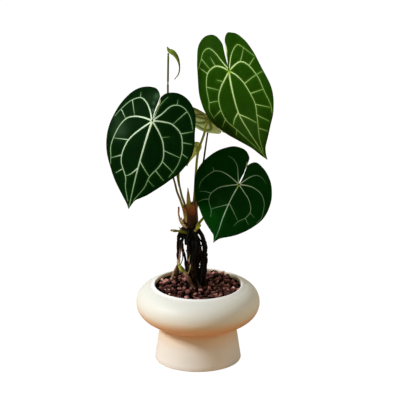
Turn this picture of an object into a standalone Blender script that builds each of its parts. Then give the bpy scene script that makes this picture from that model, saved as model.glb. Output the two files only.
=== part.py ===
"""Anthurium crystallinum in a pedestal pot: a turned ceramic pot filled with lava grit, a short stem
on a cage of aerial roots, six petioles, five open heart-shaped blades, one furled blade and the
papery sheaths round the crown. Metres, +Z up, +X to the right and -Y to the front. The origin is the
centre of the pot's underside."""

import math
import random

import bmesh
import bpy
from mathutils import Matrix, Vector

# Pot. The 180 mm bowl drives every other size.
BOWL_RADIUS = 0.0900
BOWL_LEVEL = 0.0860
BOWL_CORE_RADIUS = 0.0520
BOWL_TOP = 0.1146
BOWL_UNDERSIDE = 0.0560
LIP_RADIUS = 0.0645
LIP_THICKNESS = 0.0034
FOOT_RADIUS = 0.0626
NECK_RADIUS = 0.0548
FOOT_EDGE = 0.0016
WALL = 0.0050
FLOOR = 0.0065
POT_SIDES = 40

# Lava grit.
GRIT_LEVEL = 0.1065
GRIT_STONES = 98
GRIT_STONE = 0.0098
GRIT_REACH = 0.0575
# Heaps on the grit: middle, radius at the foot and at the top, and height.
GRIT_HEAPS = (((-0.0060, -0.0060), 0.034, 0.012, 0.0062), ((0.0270, 0.0330), 0.019, 0.007, 0.0055))
SEED = 7

# What touches keeps this much room, because meshes hold 32-bit numbers.
GAP = 0.0003

# Stem. Its foot stands in the grit, and its crown carries petioles and sheaths.
STEM_FOOT = Vector((-0.0062, 0.0, 0.0960))
CROWN = Vector((-0.0115, 0.0, 0.2180))
STEM_SIDES = 12
ROOT_SIDES_RESOLUTION = 1

# Blades and petioles.
BLADE_THICKNESS = 0.0010
BLADE_SECTORS = 20
BLADE_RINGS = 4
CLOSER_AT_TIP = 1.35
PETIOLE_RESOLUTION = 2

# Shares of a half blade's sweep, from the midrib (0) to the sinus (1), where its reach is stated.
SWEEP = (0.0, 0.012, 0.035, 0.06, 0.095, 0.16, 0.25, 0.36, 0.48, 0.61, 0.74, 0.86, 0.94, 1.0)

BLADES = {
    "blade_left": {
        "attach": (-0.0659, -0.0400, 0.3814), "yaw": -24, "pitch": 32, "roll": -6.3, "twist": -4,
        "length": 0.1325, "arch": 17.5, "lobe_arch": 12, "fold": (-12, -9), "curl": (5, 7),
        "sweep": (180, 188), "notch": (16, 16), "lift": (0.0018, -0.0018),
        "left": (1, 0.954, 0.898, 0.849, 0.796, 0.713, 0.641, 0.571, 0.509, 0.477, 0.455, 0.401, 0.354, 0.276),
        "right": (1, 0.916, 0.863, 0.826, 0.774, 0.705, 0.654, 0.592, 0.503, 0.483, 0.451, 0.385, 0.308, 0.185),
    },
    "blade_upper_right": {
        "attach": (0.0444, -0.0300, 0.4543), "yaw": -42.6, "pitch": 7.3, "roll": 17.9, "twist": 0,
        "length": 0.1505, "arch": 42.5, "lobe_arch": 0, "fold": (-7, 3), "curl": (8, 7),
        "sweep": (171.5, 187), "notch": (3, 4), "lift": (0, 0),
        "left": (1, 0.945, 0.852, 0.806, 0.765, 0.720, 0.665, 0.556, 0.464, 0.450, 0.467, 0.424, 0.357, 0.257),
        "right": (1, 0.929, 0.843, 0.792, 0.738, 0.672, 0.632, 0.583, 0.450, 0.398, 0.384, 0.378, 0.356, 0.190),
    },
    "blade_lower_right": {
        "attach": (0.0594, -0.0250, 0.2782), "yaw": 24.8, "pitch": 43.9, "roll": -38.9, "twist": 10,
        "length": 0.1056, "arch": 4, "lobe_arch": 2, "fold": (-7, -18), "curl": (5, 2),
        "sweep": (183.5, 179), "notch": (16, 14), "lift": (0.0018, -0.0018),
        "left": (1, 0.905, 0.848, 0.810, 0.767, 0.700, 0.657, 0.625, 0.600, 0.569, 0.568, 0.572, 0.513, 0.367),
        "right": (1, 0.928, 0.862, 0.822, 0.773, 0.697, 0.626, 0.583, 0.558, 0.560, 0.565, 0.529, 0.475, 0.340),
    },
    "blade_back_upper": {
        "attach": (0.0163, 0.0420, 0.3539), "yaw": 147, "pitch": 31, "roll": 148, "twist": 0,
        "length": 0.0707, "arch": 39, "lobe_arch": 8, "fold": (-5, -23), "curl": (-8, -8),
        "sweep": (178, 170), "notch": (8, 8), "lift": (0, 0),
        "left": (1, 0.940, 0.865, 0.822, 0.770, 0.705, 0.645, 0.575, 0.515, 0.470, 0.425, 0.405, 0.412, 0.385),
        "right": (1, 0.940, 0.865, 0.822, 0.770, 0.705, 0.610, 0.525, 0.458, 0.436, 0.448, 0.442, 0.395, 0.310),
    },
    "blade_back_lower": {
        "attach": (-0.0264, 0.0350, 0.3096), "yaw": 216, "pitch": 46.6, "roll": -34.7, "twist": 0,
        "length": 0.0621, "arch": 18, "lobe_arch": 8, "fold": (-4, -4), "curl": (-10, -10),
        "sweep": (170, 170), "notch": (8, 8), "lift": (0, 0),
        "left": (1, 0.940, 0.865, 0.822, 0.770, 0.705, 0.645, 0.575, 0.510, 0.480, 0.458, 0.412, 0.350, 0.260),
        "right": (1, 0.940, 0.865, 0.822, 0.770, 0.705, 0.645, 0.575, 0.510, 0.480, 0.458, 0.412, 0.350, 0.260),
    },
}

# A petiole rises from its socket in the crown through these points to the back of its blade.
PETIOLES = {
    "petiole_left": {
        "blade": "blade_left", "radius": (0.0020, 0.0015),
        "path": ((-0.0180, -0.0046, 0.2124), (-0.0205, -0.0050, 0.2290), (-0.0253, -0.0070, 0.2462),
                 (-0.0306, -0.0090, 0.2614), (-0.0348, -0.0110, 0.2796), (-0.0480, -0.0170, 0.3250),
                 (-0.0585, -0.0240, 0.3560)),
    },
    "petiole_upper_right": {
        "blade": "blade_upper_right", "radius": (0.0018, 0.0013),
        "path": ((-0.0042, 0.0018, 0.2124), (-0.0020, 0.0055, 0.2290), (0.0025, 0.0165, 0.2540),
                 (0.0080, 0.0370, 0.2900), (0.0112, 0.0550, 0.3078), (0.0142, 0.0670, 0.3249),
                 (0.0167, 0.0680, 0.3416), (0.0203, 0.0570, 0.3643), (0.0276, 0.0330, 0.3933),
                 (0.0348, 0.0050, 0.4192)),
    },
    "petiole_lower_right": {
        "blade": "blade_lower_right", "radius": (0.0023, 0.0017),
        "path": ((-0.0045, -0.0062, 0.2030), (0.0010, -0.0095, 0.2115), (0.0095, -0.0145, 0.2240),
                 (0.0276, -0.0170, 0.2446), (0.0470, -0.0150, 0.2620)),
    },
    "petiole_back_upper": {
        "blade": "blade_back_upper", "radius": (0.0021, 0.0018),
        "path": ((-0.0072, 0.0069, 0.2124), (-0.0062, 0.0085, 0.2330), (-0.0044, 0.0130, 0.2552),
                 (-0.0032, 0.0190, 0.2777), (0.0001, 0.0270, 0.3082), (0.0089, 0.0325, 0.3347)),
    },
    "petiole_back_lower": {
        "blade": "blade_back_lower", "radius": (0.0016, 0.0013),
        "path": ((-0.0140, 0.0070, 0.2124), (-0.0172, 0.0080, 0.2280), (-0.0234, 0.0100, 0.2465),
                 (-0.0264, 0.0130, 0.2591), (-0.0280, 0.0180, 0.2740), (-0.0265, 0.0240, 0.2900)),
    },
    "petiole_new": {
        "blade": None, "radius": (0.0020, 0.0015),
        "path": ((-0.0180, 0.0010, 0.2124), (-0.0190, 0.0005, 0.2275), (-0.0197, 0.0, 0.2387),
                 (-0.0234, 0.0, 0.2503), (-0.0264, 0.0, 0.2639), (-0.0289, 0.0, 0.2755),
                 (-0.0377, 0.0, 0.3375), (-0.0428, 0.0, 0.3839), (-0.0435, 0.0, 0.4118),
                 (-0.0426, 0.0, 0.4697)),
    },
}
PETIOLE_STEPS = 16
KNEE = 0.0100

# The furled blade hooks over from the top of its petiole: points of its spine, and its half widths.
FURLED_SPINE = ((-0.0444, 0.0, 0.4800), (-0.0418, 0.0, 0.4745), (-0.0375, 0.0, 0.4720),
                (-0.0335, 0.0, 0.4685), (-0.0298, 0.0, 0.4625), (-0.0272, 0.0, 0.4540),
                (-0.0267, 0.0, 0.4455), (-0.0285, 0.0, 0.4375), (-0.0340, 0.0, 0.4300))
FURLED_RADII = (0.0006, 0.0028, 0.0038, 0.0034, 0.0026, 0.0013, 0.0009, 0.0009, 0.0006)

# Roots: points from the stem to the grit, and the thickness at both ends.
ROOTS = (
    (((-0.0150, -0.0030, 0.1960), (-0.0270, -0.0050, 0.1890), (-0.0293, -0.0060, 0.1680),
      (-0.0290, -0.0060, 0.1430), (-0.0305, -0.0060, 0.1220), (-0.0305, -0.0060, 0.0985)), 0.0018, 0.0021),
    (((-0.0150, 0.0020, 0.1930), (-0.0228, 0.0040, 0.1830), (-0.0232, 0.0060, 0.1600),
      (-0.0206, 0.0060, 0.1400), (-0.0185, 0.0070, 0.1200), (-0.0185, 0.0070, 0.0985)), 0.0019, 0.0022),
    (((-0.0140, -0.0080, 0.1930), (-0.0245, -0.0110, 0.1860), (-0.0255, -0.0130, 0.1680),
      (-0.0272, -0.0140, 0.1520), (-0.0262, -0.0150, 0.1400), (-0.0195, -0.0170, 0.1290),
      (-0.0100, -0.0190, 0.1130), (-0.0060, -0.0200, 0.1010)), 0.0015, 0.0030),
    (((-0.0060, -0.0010, 0.1990), (0.0050, -0.0020, 0.1920), (0.0103, -0.0030, 0.1790),
      (0.0116, -0.0030, 0.1620), (0.0108, -0.0030, 0.1440), (0.0092, -0.0030, 0.1230),
      (0.0092, -0.0030, 0.0985)), 0.0020, 0.0023),
    (((-0.0080, -0.0060, 0.1890), (-0.0030, -0.0100, 0.1770), (0.0040, -0.0090, 0.1620),
      (0.0072, -0.0100, 0.1450), (0.0030, -0.0110, 0.1240), (0.0030, -0.0110, 0.0985)), 0.0017, 0.0019),
    (((-0.0120, -0.0080, 0.1880), (-0.0150, -0.0130, 0.1700), (-0.0135, -0.0140, 0.1500),
      (-0.0165, -0.0130, 0.1300), (-0.0150, -0.0120, 0.1130), (-0.0150, -0.0120, 0.0985)), 0.0018, 0.0018),
    (((-0.0090, -0.0080, 0.1860), (-0.0075, -0.0140, 0.1680), (-0.0095, -0.0145, 0.1480),
      (-0.0070, -0.0130, 0.1280), (-0.0022, -0.0158, 0.1130), (-0.0022, -0.0158, 0.0985)), 0.0019, 0.0020),
    (((-0.0110, 0.0070, 0.1930), (-0.0140, 0.0150, 0.1780), (-0.0120, 0.0160, 0.1540),
      (-0.0150, 0.0150, 0.1280), (-0.0150, 0.0150, 0.0985)), 0.0019, 0.0021),
    (((-0.0060, 0.0070, 0.1930), (0.0010, 0.0140, 0.1780), (0.0030, 0.0150, 0.1540),
      (-0.0013, 0.0143, 0.1280), (-0.0013, 0.0143, 0.0985)), 0.0019, 0.0022),
    (((-0.0050, 0.0030, 0.1870), (0.0030, 0.0060, 0.1700), (0.0052, 0.0062, 0.1480),
      (0.0030, 0.0062, 0.1260), (0.0047, 0.0062, 0.0985)), 0.0019, 0.0020),
)
ROOT_STEPS = 10

# Short growths on the stem: a green root tip on the left, and the dry end of an old sheath above it.
SPURS = (
    (((-0.0120, -0.0060, 0.1955), (-0.0210, -0.0110, 0.1990), (-0.0300, -0.0135, 0.2015),
      (-0.0395, -0.0150, 0.2025)), 0.0026, 0.0010),
    (((-0.0160, -0.0050, 0.2040), (-0.0230, -0.0080, 0.2100), (-0.0275, -0.0085, 0.2190),
      (-0.0290, -0.0085, 0.2290), (-0.0282, -0.0085, 0.2370)), 0.0013, 0.0007),
)
SPUR_STEPS = 6

# Sheaths: bearing round the crown from +X, half angle, foot and tip heights, tip's lean outwards.
SHEATHS = {
    "sheath_spike": {"bearing": 266, "half_angle": 13, "foot": 0.2090, "tip": 0.2665, "lean": -0.0030},
    "sheath_right": {"bearing": 352, "half_angle": 22, "foot": 0.2120, "tip": 0.2500, "lean": -0.0010},
    "sheath_front": {"bearing": 294, "half_angle": 13, "foot": 0.2110, "tip": 0.2450, "lean": -0.0005},
    "sheath_front_left": {"bearing": 234, "half_angle": 14, "foot": 0.2130, "tip": 0.2390, "lean": 0.0008},
    "sheath_back": {"bearing": 92, "half_angle": 26, "foot": 0.2090, "tip": 0.2400, "lean": 0.0020},
}
SHEATH_THICKNESS = 0.0008
CROWN_RADIUS = 0.0106

COLOURS = {
    "pot": ((0.86, 0.83, 0.75), 0.55),
    "lava_grit": ((0.24, 0.10, 0.08), 0.95),
    "stem_and_roots": ((0.035, 0.025, 0.018), 0.85),
    "blade": ((0.010, 0.055, 0.012), 0.50),
    "blade_back": ((0.20, 0.27, 0.08), 0.55),
    "petiole": ((0.20, 0.22, 0.03), 0.50),
    "sheath": ((0.28, 0.12, 0.04), 0.65),
}


def clear_scene():
    for obj in list(bpy.data.objects):
        bpy.data.objects.remove(obj)


def collection(name, parent=None):
    made = bpy.data.collections.new(name)
    (parent or bpy.context.scene.collection).children.link(made)
    return made


def material(name):
    colour, roughness = COLOURS[name]
    made = bpy.data.materials.get(name) or bpy.data.materials.new(name)
    made.use_nodes = True
    shader = made.node_tree.nodes["Principled BSDF"]
    shader.inputs["Base Color"].default_value = (*colour, 1.0)
    shader.inputs["Roughness"].default_value = roughness
    shader.inputs["Metallic"].default_value = 0.0
    return made


def link_mesh(name, mesh, home, look=None):
    obj = bpy.data.objects.new(name, mesh)
    home.objects.link(obj)
    if look:
        mesh.materials.append(material(look))
    return obj


def evaluated_copy(obj):
    """The object's mesh with its modifiers, in world space, with points closer than 1 um made one."""
    bpy.context.view_layer.update()
    graph = bpy.context.evaluated_depsgraph_get()
    mesh = bpy.data.meshes.new_from_object(obj.evaluated_get(graph))
    mesh.transform(obj.matrix_world)
    work = bmesh.new()
    work.from_mesh(mesh)
    bmesh.ops.remove_doubles(work, verts=work.verts, dist=1e-6)
    work.to_mesh(mesh)
    work.free()
    return mesh


def bake(obj):
    """Applies the object's modifiers."""
    mesh = evaluated_copy(obj)
    obj.modifiers.clear()
    obj.matrix_world = Matrix.Identity(4)
    obj.data = mesh
    return obj


def smooth_path(points, steps):
    """Points of a smooth curve through the given ones."""
    points = [Vector(p) for p in points]
    padded = [2 * points[0] - points[1], *points, 2 * points[-1] - points[-2]]
    spans = len(points) - 1
    made = []
    for i in range(steps + 1):
        place = min(i / steps * spans, spans - 1e-9)
        k = int(place)
        t = place - k
        a, b, c, d = padded[k : k + 4]
        made.append(
            0.5 * (2 * b + (c - a) * t + (2 * a - 5 * b + 4 * c - d) * t * t
                   + (3 * b - a - 3 * c + d) * t ** 3)
        )
    return made


def tube(name, points, radii, home, resolution):
    """A curve object with round section and filled caps; radii run from the first point to the last."""
    curve = bpy.data.curves.new(name, "CURVE")
    curve.dimensions = "3D"
    curve.bevel_depth = 1.0
    curve.bevel_resolution = resolution
    curve.use_fill_caps = True
    spline = curve.splines.new("POLY")
    spline.points.add(len(points) - 1)
    for place, point, radius in zip(spline.points, points, radii):
        place.co = (*point, 1.0)
        place.radius = radius
    obj = bpy.data.objects.new(name, curve)
    home.objects.link(obj)
    return obj


def solid_tube(name, points, radii, home, resolution):
    """A tube made a closed mesh, for a Boolean."""
    curve = tube(name, points, radii, home, resolution)
    mesh = evaluated_copy(curve)
    bpy.data.objects.remove(curve)
    work = bmesh.new()
    work.from_mesh(mesh)
    bmesh.ops.recalc_face_normals(work, faces=work.faces)
    work.to_mesh(mesh)
    work.free()
    return link_mesh(name, mesh, home)


def ramp(start, end, count):
    return [start + (end - start) * i / (count - 1) for i in range(count)]


def turned(name, profile, home, sides):
    """A solid of revolution round Z; the profile runs down the outer side and back up the axis."""
    mesh = bpy.data.meshes.new(name)
    mesh.from_pydata([(r, 0.0, z) for r, z in profile],
                     [(i, i + 1) for i in range(len(profile) - 1)], [])
    obj = link_mesh(name, mesh, home)
    screw = obj.modifiers.new("turn", "SCREW")
    screw.axis = "Z"
    screw.steps = screw.render_steps = sides
    screw.use_merge_vertices = True
    screw.merge_threshold = 0.00002
    return obj


def boolean(obj, operation, tools, solver):
    cut = obj.modifiers.new(operation.lower(), "BOOLEAN")
    cut.operation = operation
    cut.operand_type = "COLLECTION"
    cut.collection = tools
    cut.solver = solver
    bake(obj)
    for tool in list(tools.objects):
        bpy.data.objects.remove(tool)
    bpy.data.collections.remove(tools)


def bowl_arc(core, width, height, level, start, end, count, power):
    """Points of a superellipse round (core, level), from one angle to another, in degrees from +R."""
    made = []
    for angle in ramp(start, end, count):
        c, s = math.cos(math.radians(angle)), math.sin(math.radians(angle))
        made.append((core + width * math.copysign(abs(c) ** (2 / power), c),
                     level + height * math.copysign(abs(s) ** (2 / power), s)))
    return made


def pot_outside():
    """From the lip over the bowl's shoulder, in under it, and down the flared foot."""
    width = BOWL_RADIUS - BOWL_CORE_RADIUS
    shoulder = bowl_arc(BOWL_CORE_RADIUS, width, BOWL_TOP - 0.0004 - BOWL_LEVEL, BOWL_LEVEL,
                        68, 0, 8, 2.2)
    belly = bowl_arc(BOWL_CORE_RADIUS, width, BOWL_LEVEL - BOWL_UNDERSIDE, BOWL_LEVEL,
                     -12, -78, 6, 2.0)
    foot = [(NECK_RADIUS, BOWL_UNDERSIDE + 0.0004),
            (FOOT_RADIUS, FOOT_EDGE), (FOOT_RADIUS - FOOT_EDGE, 0.0)]
    return shoulder + belly + foot


def pot_inside(clearance):
    """From the foot's floor up to the lip, drawn in by the clearance."""
    width = BOWL_RADIUS - BOWL_CORE_RADIUS - WALL - clearance
    belly = bowl_arc(BOWL_CORE_RADIUS, width, BOWL_LEVEL - BOWL_UNDERSIDE - WALL - clearance,
                     BOWL_LEVEL, -70, -10, 4, 2.0)
    shoulder = bowl_arc(BOWL_CORE_RADIUS, width, BOWL_TOP - BOWL_LEVEL - WALL - clearance,
                        BOWL_LEVEL, 15, 52, 3, 2.2)
    foot = [(FOOT_RADIUS - WALL - clearance, FLOOR + clearance),
            (NECK_RADIUS - WALL - clearance, BOWL_UNDERSIDE - 0.002)]
    return foot + belly + shoulder


def make_pot(home):
    inside = [p for p in pot_inside(0.0)]
    opening = LIP_RADIUS - LIP_THICKNESS / 2
    lip = [(opening, BOWL_TOP - 0.0060), (opening, BOWL_TOP - 0.0012), (LIP_RADIUS, BOWL_TOP)]
    profile = lip[::-1][:1] + pot_outside() + [(0.0, 0.0)]
    hollow = [(0.0, FLOOR)] + inside + lip[:2]
    pot = turned("pot", profile + hollow + [lip[2]], home, POT_SIDES)
    pot.data.materials.append(material("pot"))
    work = bmesh.new()
    work.from_mesh(pot.data)
    bmesh.ops.remove_doubles(work, verts=work.verts, dist=1e-6)
    work.to_mesh(pot.data)
    work.free()
    return bake(pot)


def stem_profile():
    """Radius and share of the height, from the crown down to the foot."""
    return ((0.0, 1.0), (0.0088, 1.0), (CROWN_RADIUS, 0.975), (CROWN_RADIUS, 0.86), (0.0114, 0.81),
            (0.0084, 0.72), (0.0074, 0.45), (0.0078, 0.20), (0.0082, 0.0), (0.0, 0.0))


def place_stem(stem):
    """Leans the stem from its foot to the crown by a shear."""
    height = CROWN.z - STEM_FOOT.z
    for vertex in stem.data.vertices:
        share = (vertex.co.z - STEM_FOOT.z) / height
        vertex.co.x += STEM_FOOT.x + (CROWN.x - STEM_FOOT.x) * share
        vertex.co.y += STEM_FOOT.y + (CROWN.y - STEM_FOOT.y) * share


def root_tubes(prefix, extra, home):
    for i, (points, start, end) in enumerate(ROOTS):
        path = smooth_path(points, ROOT_STEPS)
        if extra:
            path.append(path[-1] + (path[-1] - path[-2]).normalized() * extra)
        radii = [r + extra for r in ramp(start, end, len(path))]
        solid_tube(f"{prefix}_{i}", path, radii, home, ROOT_SIDES_RESOLUTION)


def make_stem(home):
    height = CROWN.z - STEM_FOOT.z
    profile = [(r, STEM_FOOT.z + share * height) for r, share in stem_profile()]
    stem = bake(turned("stem_and_roots", profile, home, STEM_SIDES))
    place_stem(stem)
    stem.data.materials.append(material("stem_and_roots"))
    grown = collection("grown")
    root_tubes("root", 0.0, grown)
    for i, (points, start, end) in enumerate(SPURS):
        path = smooth_path(points, SPUR_STEPS)
        solid_tube(f"spur_{i}", path, ramp(start, end, len(path)), grown, ROOT_SIDES_RESOLUTION)
    boolean(stem, "UNION", grown, "MANIFOLD")
    sockets = collection("sockets")
    for name, spec in PETIOLES.items():
        path = petiole_path(spec)
        along = (path[0] - path[1]).normalized()
        start = [path[0] + along * GAP, *path[:4]]
        radii = [petiole_radius(spec, i, len(path)) + 1.4 * GAP for i in (0, 0, 1, 2, 3)]
        solid_tube("socket_" + name, start, radii, sockets, PETIOLE_RESOLUTION)
    boolean(stem, "DIFFERENCE", sockets, "MANIFOLD")
    return stem


def heap_height(x, y):
    """How far the heaps lift the surface of the grit."""
    lifts = [0.0]
    for (a, b), foot, top, height in GRIT_HEAPS:
        lifts.append(height * min(1.0, (foot - math.hypot(x - a, y - b)) / (foot - top)))
    return max(lifts)


def make_grit(home):
    """The grit fills the pot, with tumbled stones on top and a plain hole for the stem and each root."""
    inside = [p for p in pot_inside(GAP) if p[1] < GRIT_LEVEL - 0.002]
    reach = LIP_RADIUS - LIP_THICKNESS / 2 - 2 * GAP
    profile = [(0.0, GRIT_LEVEL), (reach, GRIT_LEVEL)] + inside[::-1] + [(0.0, FLOOR + GAP)]
    grit = bake(turned("lava_grit", profile, home, POT_SIDES))
    grit.data.materials.append(material("lava_grit"))
    stones = collection("stones")
    for i, ((x, y), foot, top, height) in enumerate(GRIT_HEAPS):
        buried = 0.004
        outline = [(0.0, height), (top, height), (foot, 0.0), (foot, -buried), (0.0, -buried)]
        heap = bake(turned(f"heap_{i}", outline, stones, 20))
        heap.data.transform(Matrix.Translation((x, y, GRIT_LEVEL)))
    rng = random.Random(SEED)
    golden = math.pi * (3 - math.sqrt(5))
    for i in range(GRIT_STONES):
        radius = GRIT_REACH * math.sqrt((i + 0.5) / GRIT_STONES)
        bearing = i * golden
        size = GRIT_STONE * rng.uniform(0.75, 1.15)
        work = bmesh.new()
        bmesh.ops.create_cube(work, size=size)
        for vertex in work.verts:
            vertex.co *= rng.uniform(0.75, 1.1)
        bmesh.ops.scale(work, verts=work.verts, vec=(1.0, rng.uniform(0.7, 1.0), rng.uniform(0.55, 0.8)))
        bmesh.ops.triangulate(work, faces=work.faces)
        mesh = bpy.data.meshes.new(f"stone_{i}")
        work.to_mesh(mesh)
        work.free()
        stone = link_mesh(f"stone_{i}", mesh, stones)
        turn = Matrix.Rotation(rng.uniform(0, 6.283), 4, "Z") @ Matrix.Rotation(rng.uniform(-0.7, 0.7), 4, "X")
        lift = rng.uniform(-0.0012, 0.0012)
        x, y = radius * math.cos(bearing), radius * math.sin(bearing)
        place = Vector((x, y, GRIT_LEVEL + heap_height(x, y) + lift))
        mesh.transform(Matrix.Translation(place) @ turn)
    boolean(grit, "UNION", stones, "MANIFOLD")
    holes = collection("holes")
    root_tubes("hole", 1.4 * GAP, holes)
    height = CROWN.z - STEM_FOOT.z
    low, high = STEM_FOOT.z - GAP, STEM_FOOT.z + 0.3 * height
    profile = [(0.0, high), (0.0082 + 2 * GAP, high), (0.0082 + 2 * GAP, low), (0.0, low)]
    stem_hole = bake(turned("stem_hole", profile, holes, STEM_SIDES))
    place_stem(stem_hole)
    boolean(grit, "DIFFERENCE", holes, "MANIFOLD")
    return grit


def blade_axes(spec):
    """Tip direction, upper face's normal and sideways direction at the petiole."""
    yaw, pitch, roll = (math.radians(spec[k]) for k in ("yaw", "pitch", "roll"))
    normal = Vector((math.sin(yaw) * math.cos(pitch), -math.cos(yaw) * math.cos(pitch), math.sin(pitch)))
    level = Vector((math.cos(yaw), math.sin(yaw), 0.0))
    down = normal.cross(level)
    if down.z > 0:
        down.negate()
    tip = math.cos(roll) * down + math.sin(roll) * level
    side = math.cos(roll) * level - math.sin(roll) * down
    return tip, normal, side


def reach_at(shares, share):
    """Smooth interpolation of a half blade's reach over its sweep."""
    slopes = [(b - a) / (q - p) for p, q, a, b in zip(SWEEP, SWEEP[1:], shares, shares[1:])]
    widths = [q - p for p, q in zip(SWEEP, SWEEP[1:])]
    tangents = [(slopes[i - 1] * widths[i] + slopes[i] * widths[i - 1]) / (widths[i - 1] + widths[i])
                for i in range(1, len(slopes))]
    tangents = [1.5 * slopes[0] - 0.5 * tangents[0], *tangents, 1.5 * slopes[-1] - 0.5 * tangents[-1]]
    k = max(i for i in range(len(widths)) if SWEEP[i] <= share + 1e-12)
    t = (share - SWEEP[k]) / widths[k]
    return ((2 * t**3 - 3 * t**2 + 1) * shares[k] + (t**3 - 2 * t**2 + t) * widths[k] * tangents[k]
            + (3 * t**2 - 2 * t**3) * shares[k + 1] + (t**3 - t**2) * widths[k] * tangents[k + 1])


def flat_point(spec, across, out):
    """Place on the flattened blade: across runs from -1 to 1 round the sweep, out from 0 to 1."""
    half = 0 if across < 0 else 1
    share = abs(across) ** CLOSER_AT_TIP
    reach = spec["length"] * reach_at(spec["left"] if half == 0 else spec["right"], share) * out
    angle = math.radians(share * (spec["sweep"][half] - spec["notch"][half] * (1 - out) ** 2))
    ease = max(0.0, (share - 0.7) / 0.3)
    lift = spec["lift"][half] * out * out * ease * ease * (3 - 2 * ease)
    return math.copysign(reach * math.sin(angle), across), reach * math.cos(angle), lift


def bent_point(spec, axes, u, v, lift):
    """Place in space of a point of the flattened blade: the midrib arches and the halves fold."""
    tip, normal, side = axes
    length = spec["length"]
    bend = math.radians(spec["arch"] if v >= 0 else spec["lobe_arch"]) / length or 1e-6
    turn = bend * v
    along, back = math.sin(turn) / bend, (1 - math.cos(turn)) / bend
    half = 0 if u < 0 else 1
    fold = math.radians(spec["fold"][half])
    curl = math.radians(spec["curl"][half]) / length or 1e-6
    width = abs(u)
    out = math.copysign((math.sin(fold + curl * width) - math.sin(fold)) / curl, u)
    rise = (math.cos(fold) - math.cos(fold + curl * width)) / curl + lift
    up = math.cos(turn) * normal + math.sin(turn) * tip
    wring = math.radians(spec["twist"]) * v / length
    wrung_side = math.cos(wring) * side + math.sin(wring) * up
    wrung_up = math.cos(wring) * up - math.sin(wring) * side
    return Vector(spec["attach"]) + along * tip - back * normal + out * wrung_side + rise * wrung_up


def make_blade(name, home):
    """A fan of quads from the petiole to the margin, bent, split alike on both faces and given a body."""
    spec = BLADES[name]
    axes = blade_axes(spec)
    work = bmesh.new()
    bmesh.ops.create_grid(work, x_segments=2 * BLADE_SECTORS, y_segments=BLADE_RINGS, size=1.0)
    for vertex in work.verts:
        out = (vertex.co.y + 1) / 2
        vertex.co = bent_point(spec, axes, *flat_point(spec, vertex.co.x, out))
    bmesh.ops.remove_doubles(work, verts=work.verts, dist=1e-6)
    bmesh.ops.reverse_faces(work, faces=work.faces)
    bmesh.ops.triangulate(work, faces=work.faces)
    mesh = bpy.data.meshes.new(name)
    work.to_mesh(mesh)
    work.free()
    blade = link_mesh(name, mesh, home, "blade_back" if "back" in name else "blade")
    body = blade.modifiers.new("body", "SOLIDIFY")
    body.thickness = BLADE_THICKNESS
    body.offset = -1.0
    return blade


def petiole_path(spec):
    points = list(spec["path"])
    if spec["blade"]:
        blade = BLADES[spec["blade"]]
        normal = blade_axes(blade)[1]
        attach = Vector(blade["attach"])
        points += [attach - normal * KNEE, attach - normal * (BLADE_THICKNESS + 2 * GAP)]
    return smooth_path(points, PETIOLE_STEPS)


def petiole_radius(spec, i, count):
    """Thick at its foot, slim above, swollen at the knee, and rounded off where it meets the blade."""
    share = i / (count - 1)
    foot, slim = spec["radius"]
    if spec["blade"] and i == count - 1:
        return 0.5 * slim
    knee = 1.2 if spec["blade"] and share > 0.85 else 1.0
    return (foot + (slim - foot) * min(1.0, share / 0.5)) * knee


def make_petiole(name, home):
    spec = PETIOLES[name]
    path = petiole_path(spec)
    radii = [petiole_radius(spec, i, len(path)) for i in range(len(path))]
    petiole = tube(name, path, radii, home, PETIOLE_RESOLUTION)
    petiole.data.materials.append(material("petiole"))
    return petiole


def make_furled_blade(home):
    """The new blade, still rolled: it starts a gap above its petiole."""
    path = smooth_path(FURLED_SPINE, 2 * (len(FURLED_SPINE) - 1))
    radii = []
    for i in range(len(path)):
        k, rest = divmod(i, 2)
        radii.append(FURLED_RADII[k] if not rest else (FURLED_RADII[k] + FURLED_RADII[k + 1]) / 2)
    furled = tube("blade_new", path, radii, home, PETIOLE_RESOLUTION)
    furled.data.materials.append(material("blade_back"))
    return furled


def make_sheath(name, home):
    """A pointed papery sheath that hugs the crown and runs out to a tip above it."""
    spec = SHEATHS[name]
    work = bmesh.new()
    bmesh.ops.create_grid(work, x_segments=4, y_segments=6, size=1.0)
    for vertex in work.verts:
        across, up = vertex.co.x, (vertex.co.y + 1) / 2
        height = spec["foot"] + (spec["tip"] - spec["foot"]) * up
        free = max(0.0, (height - CROWN.z) / (spec["tip"] - CROWN.z))
        radius = CROWN_RADIUS + GAP + SHEATH_THICKNESS + spec["lean"] * free
        half = math.radians(spec["half_angle"]) * (1 - up**1.5 * 0.96)
        angle = math.radians(spec["bearing"]) + across * half
        axis = STEM_FOOT.lerp(CROWN, (height - STEM_FOOT.z) / (CROWN.z - STEM_FOOT.z))
        vertex.co = Vector((axis.x + radius * math.cos(angle), axis.y + radius * math.sin(angle), height))
    bmesh.ops.triangulate(work, faces=work.faces)
    mesh = bpy.data.meshes.new(name)
    work.to_mesh(mesh)
    work.free()
    sheath = link_mesh(name, mesh, home, "sheath")
    body = sheath.modifiers.new("body", "SOLIDIFY")
    body.thickness = SHEATH_THICKNESS
    body.offset = -1.0
    return sheath


def main():
    clear_scene()
    home = collection("anthurium")
    make_pot(home)
    make_grit(home)
    make_stem(home)
    for name in SHEATHS:
        make_sheath(name, home)
    for name in PETIOLES:
        make_petiole(name, home)
    for name in BLADES:
        make_blade(name, home)
    make_furled_blade(home)


main()
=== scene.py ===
# %% [markdown]
# # Anthurium crystallinum in a pedestal pot
# This lesson dresses a measured model of a potted anthurium. The measured solids are simple and
# faceted. Each one is replaced here by a finer piece that stands in the same place.
# Lengths are metres unless a comment says mm, +Z is up, and the leaves face -Y.

# %% Load the measured model
import bisect
import math
import random

import bmesh
import bpy
import numpy as np
from mathutils import Matrix, Vector, noise


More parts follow.
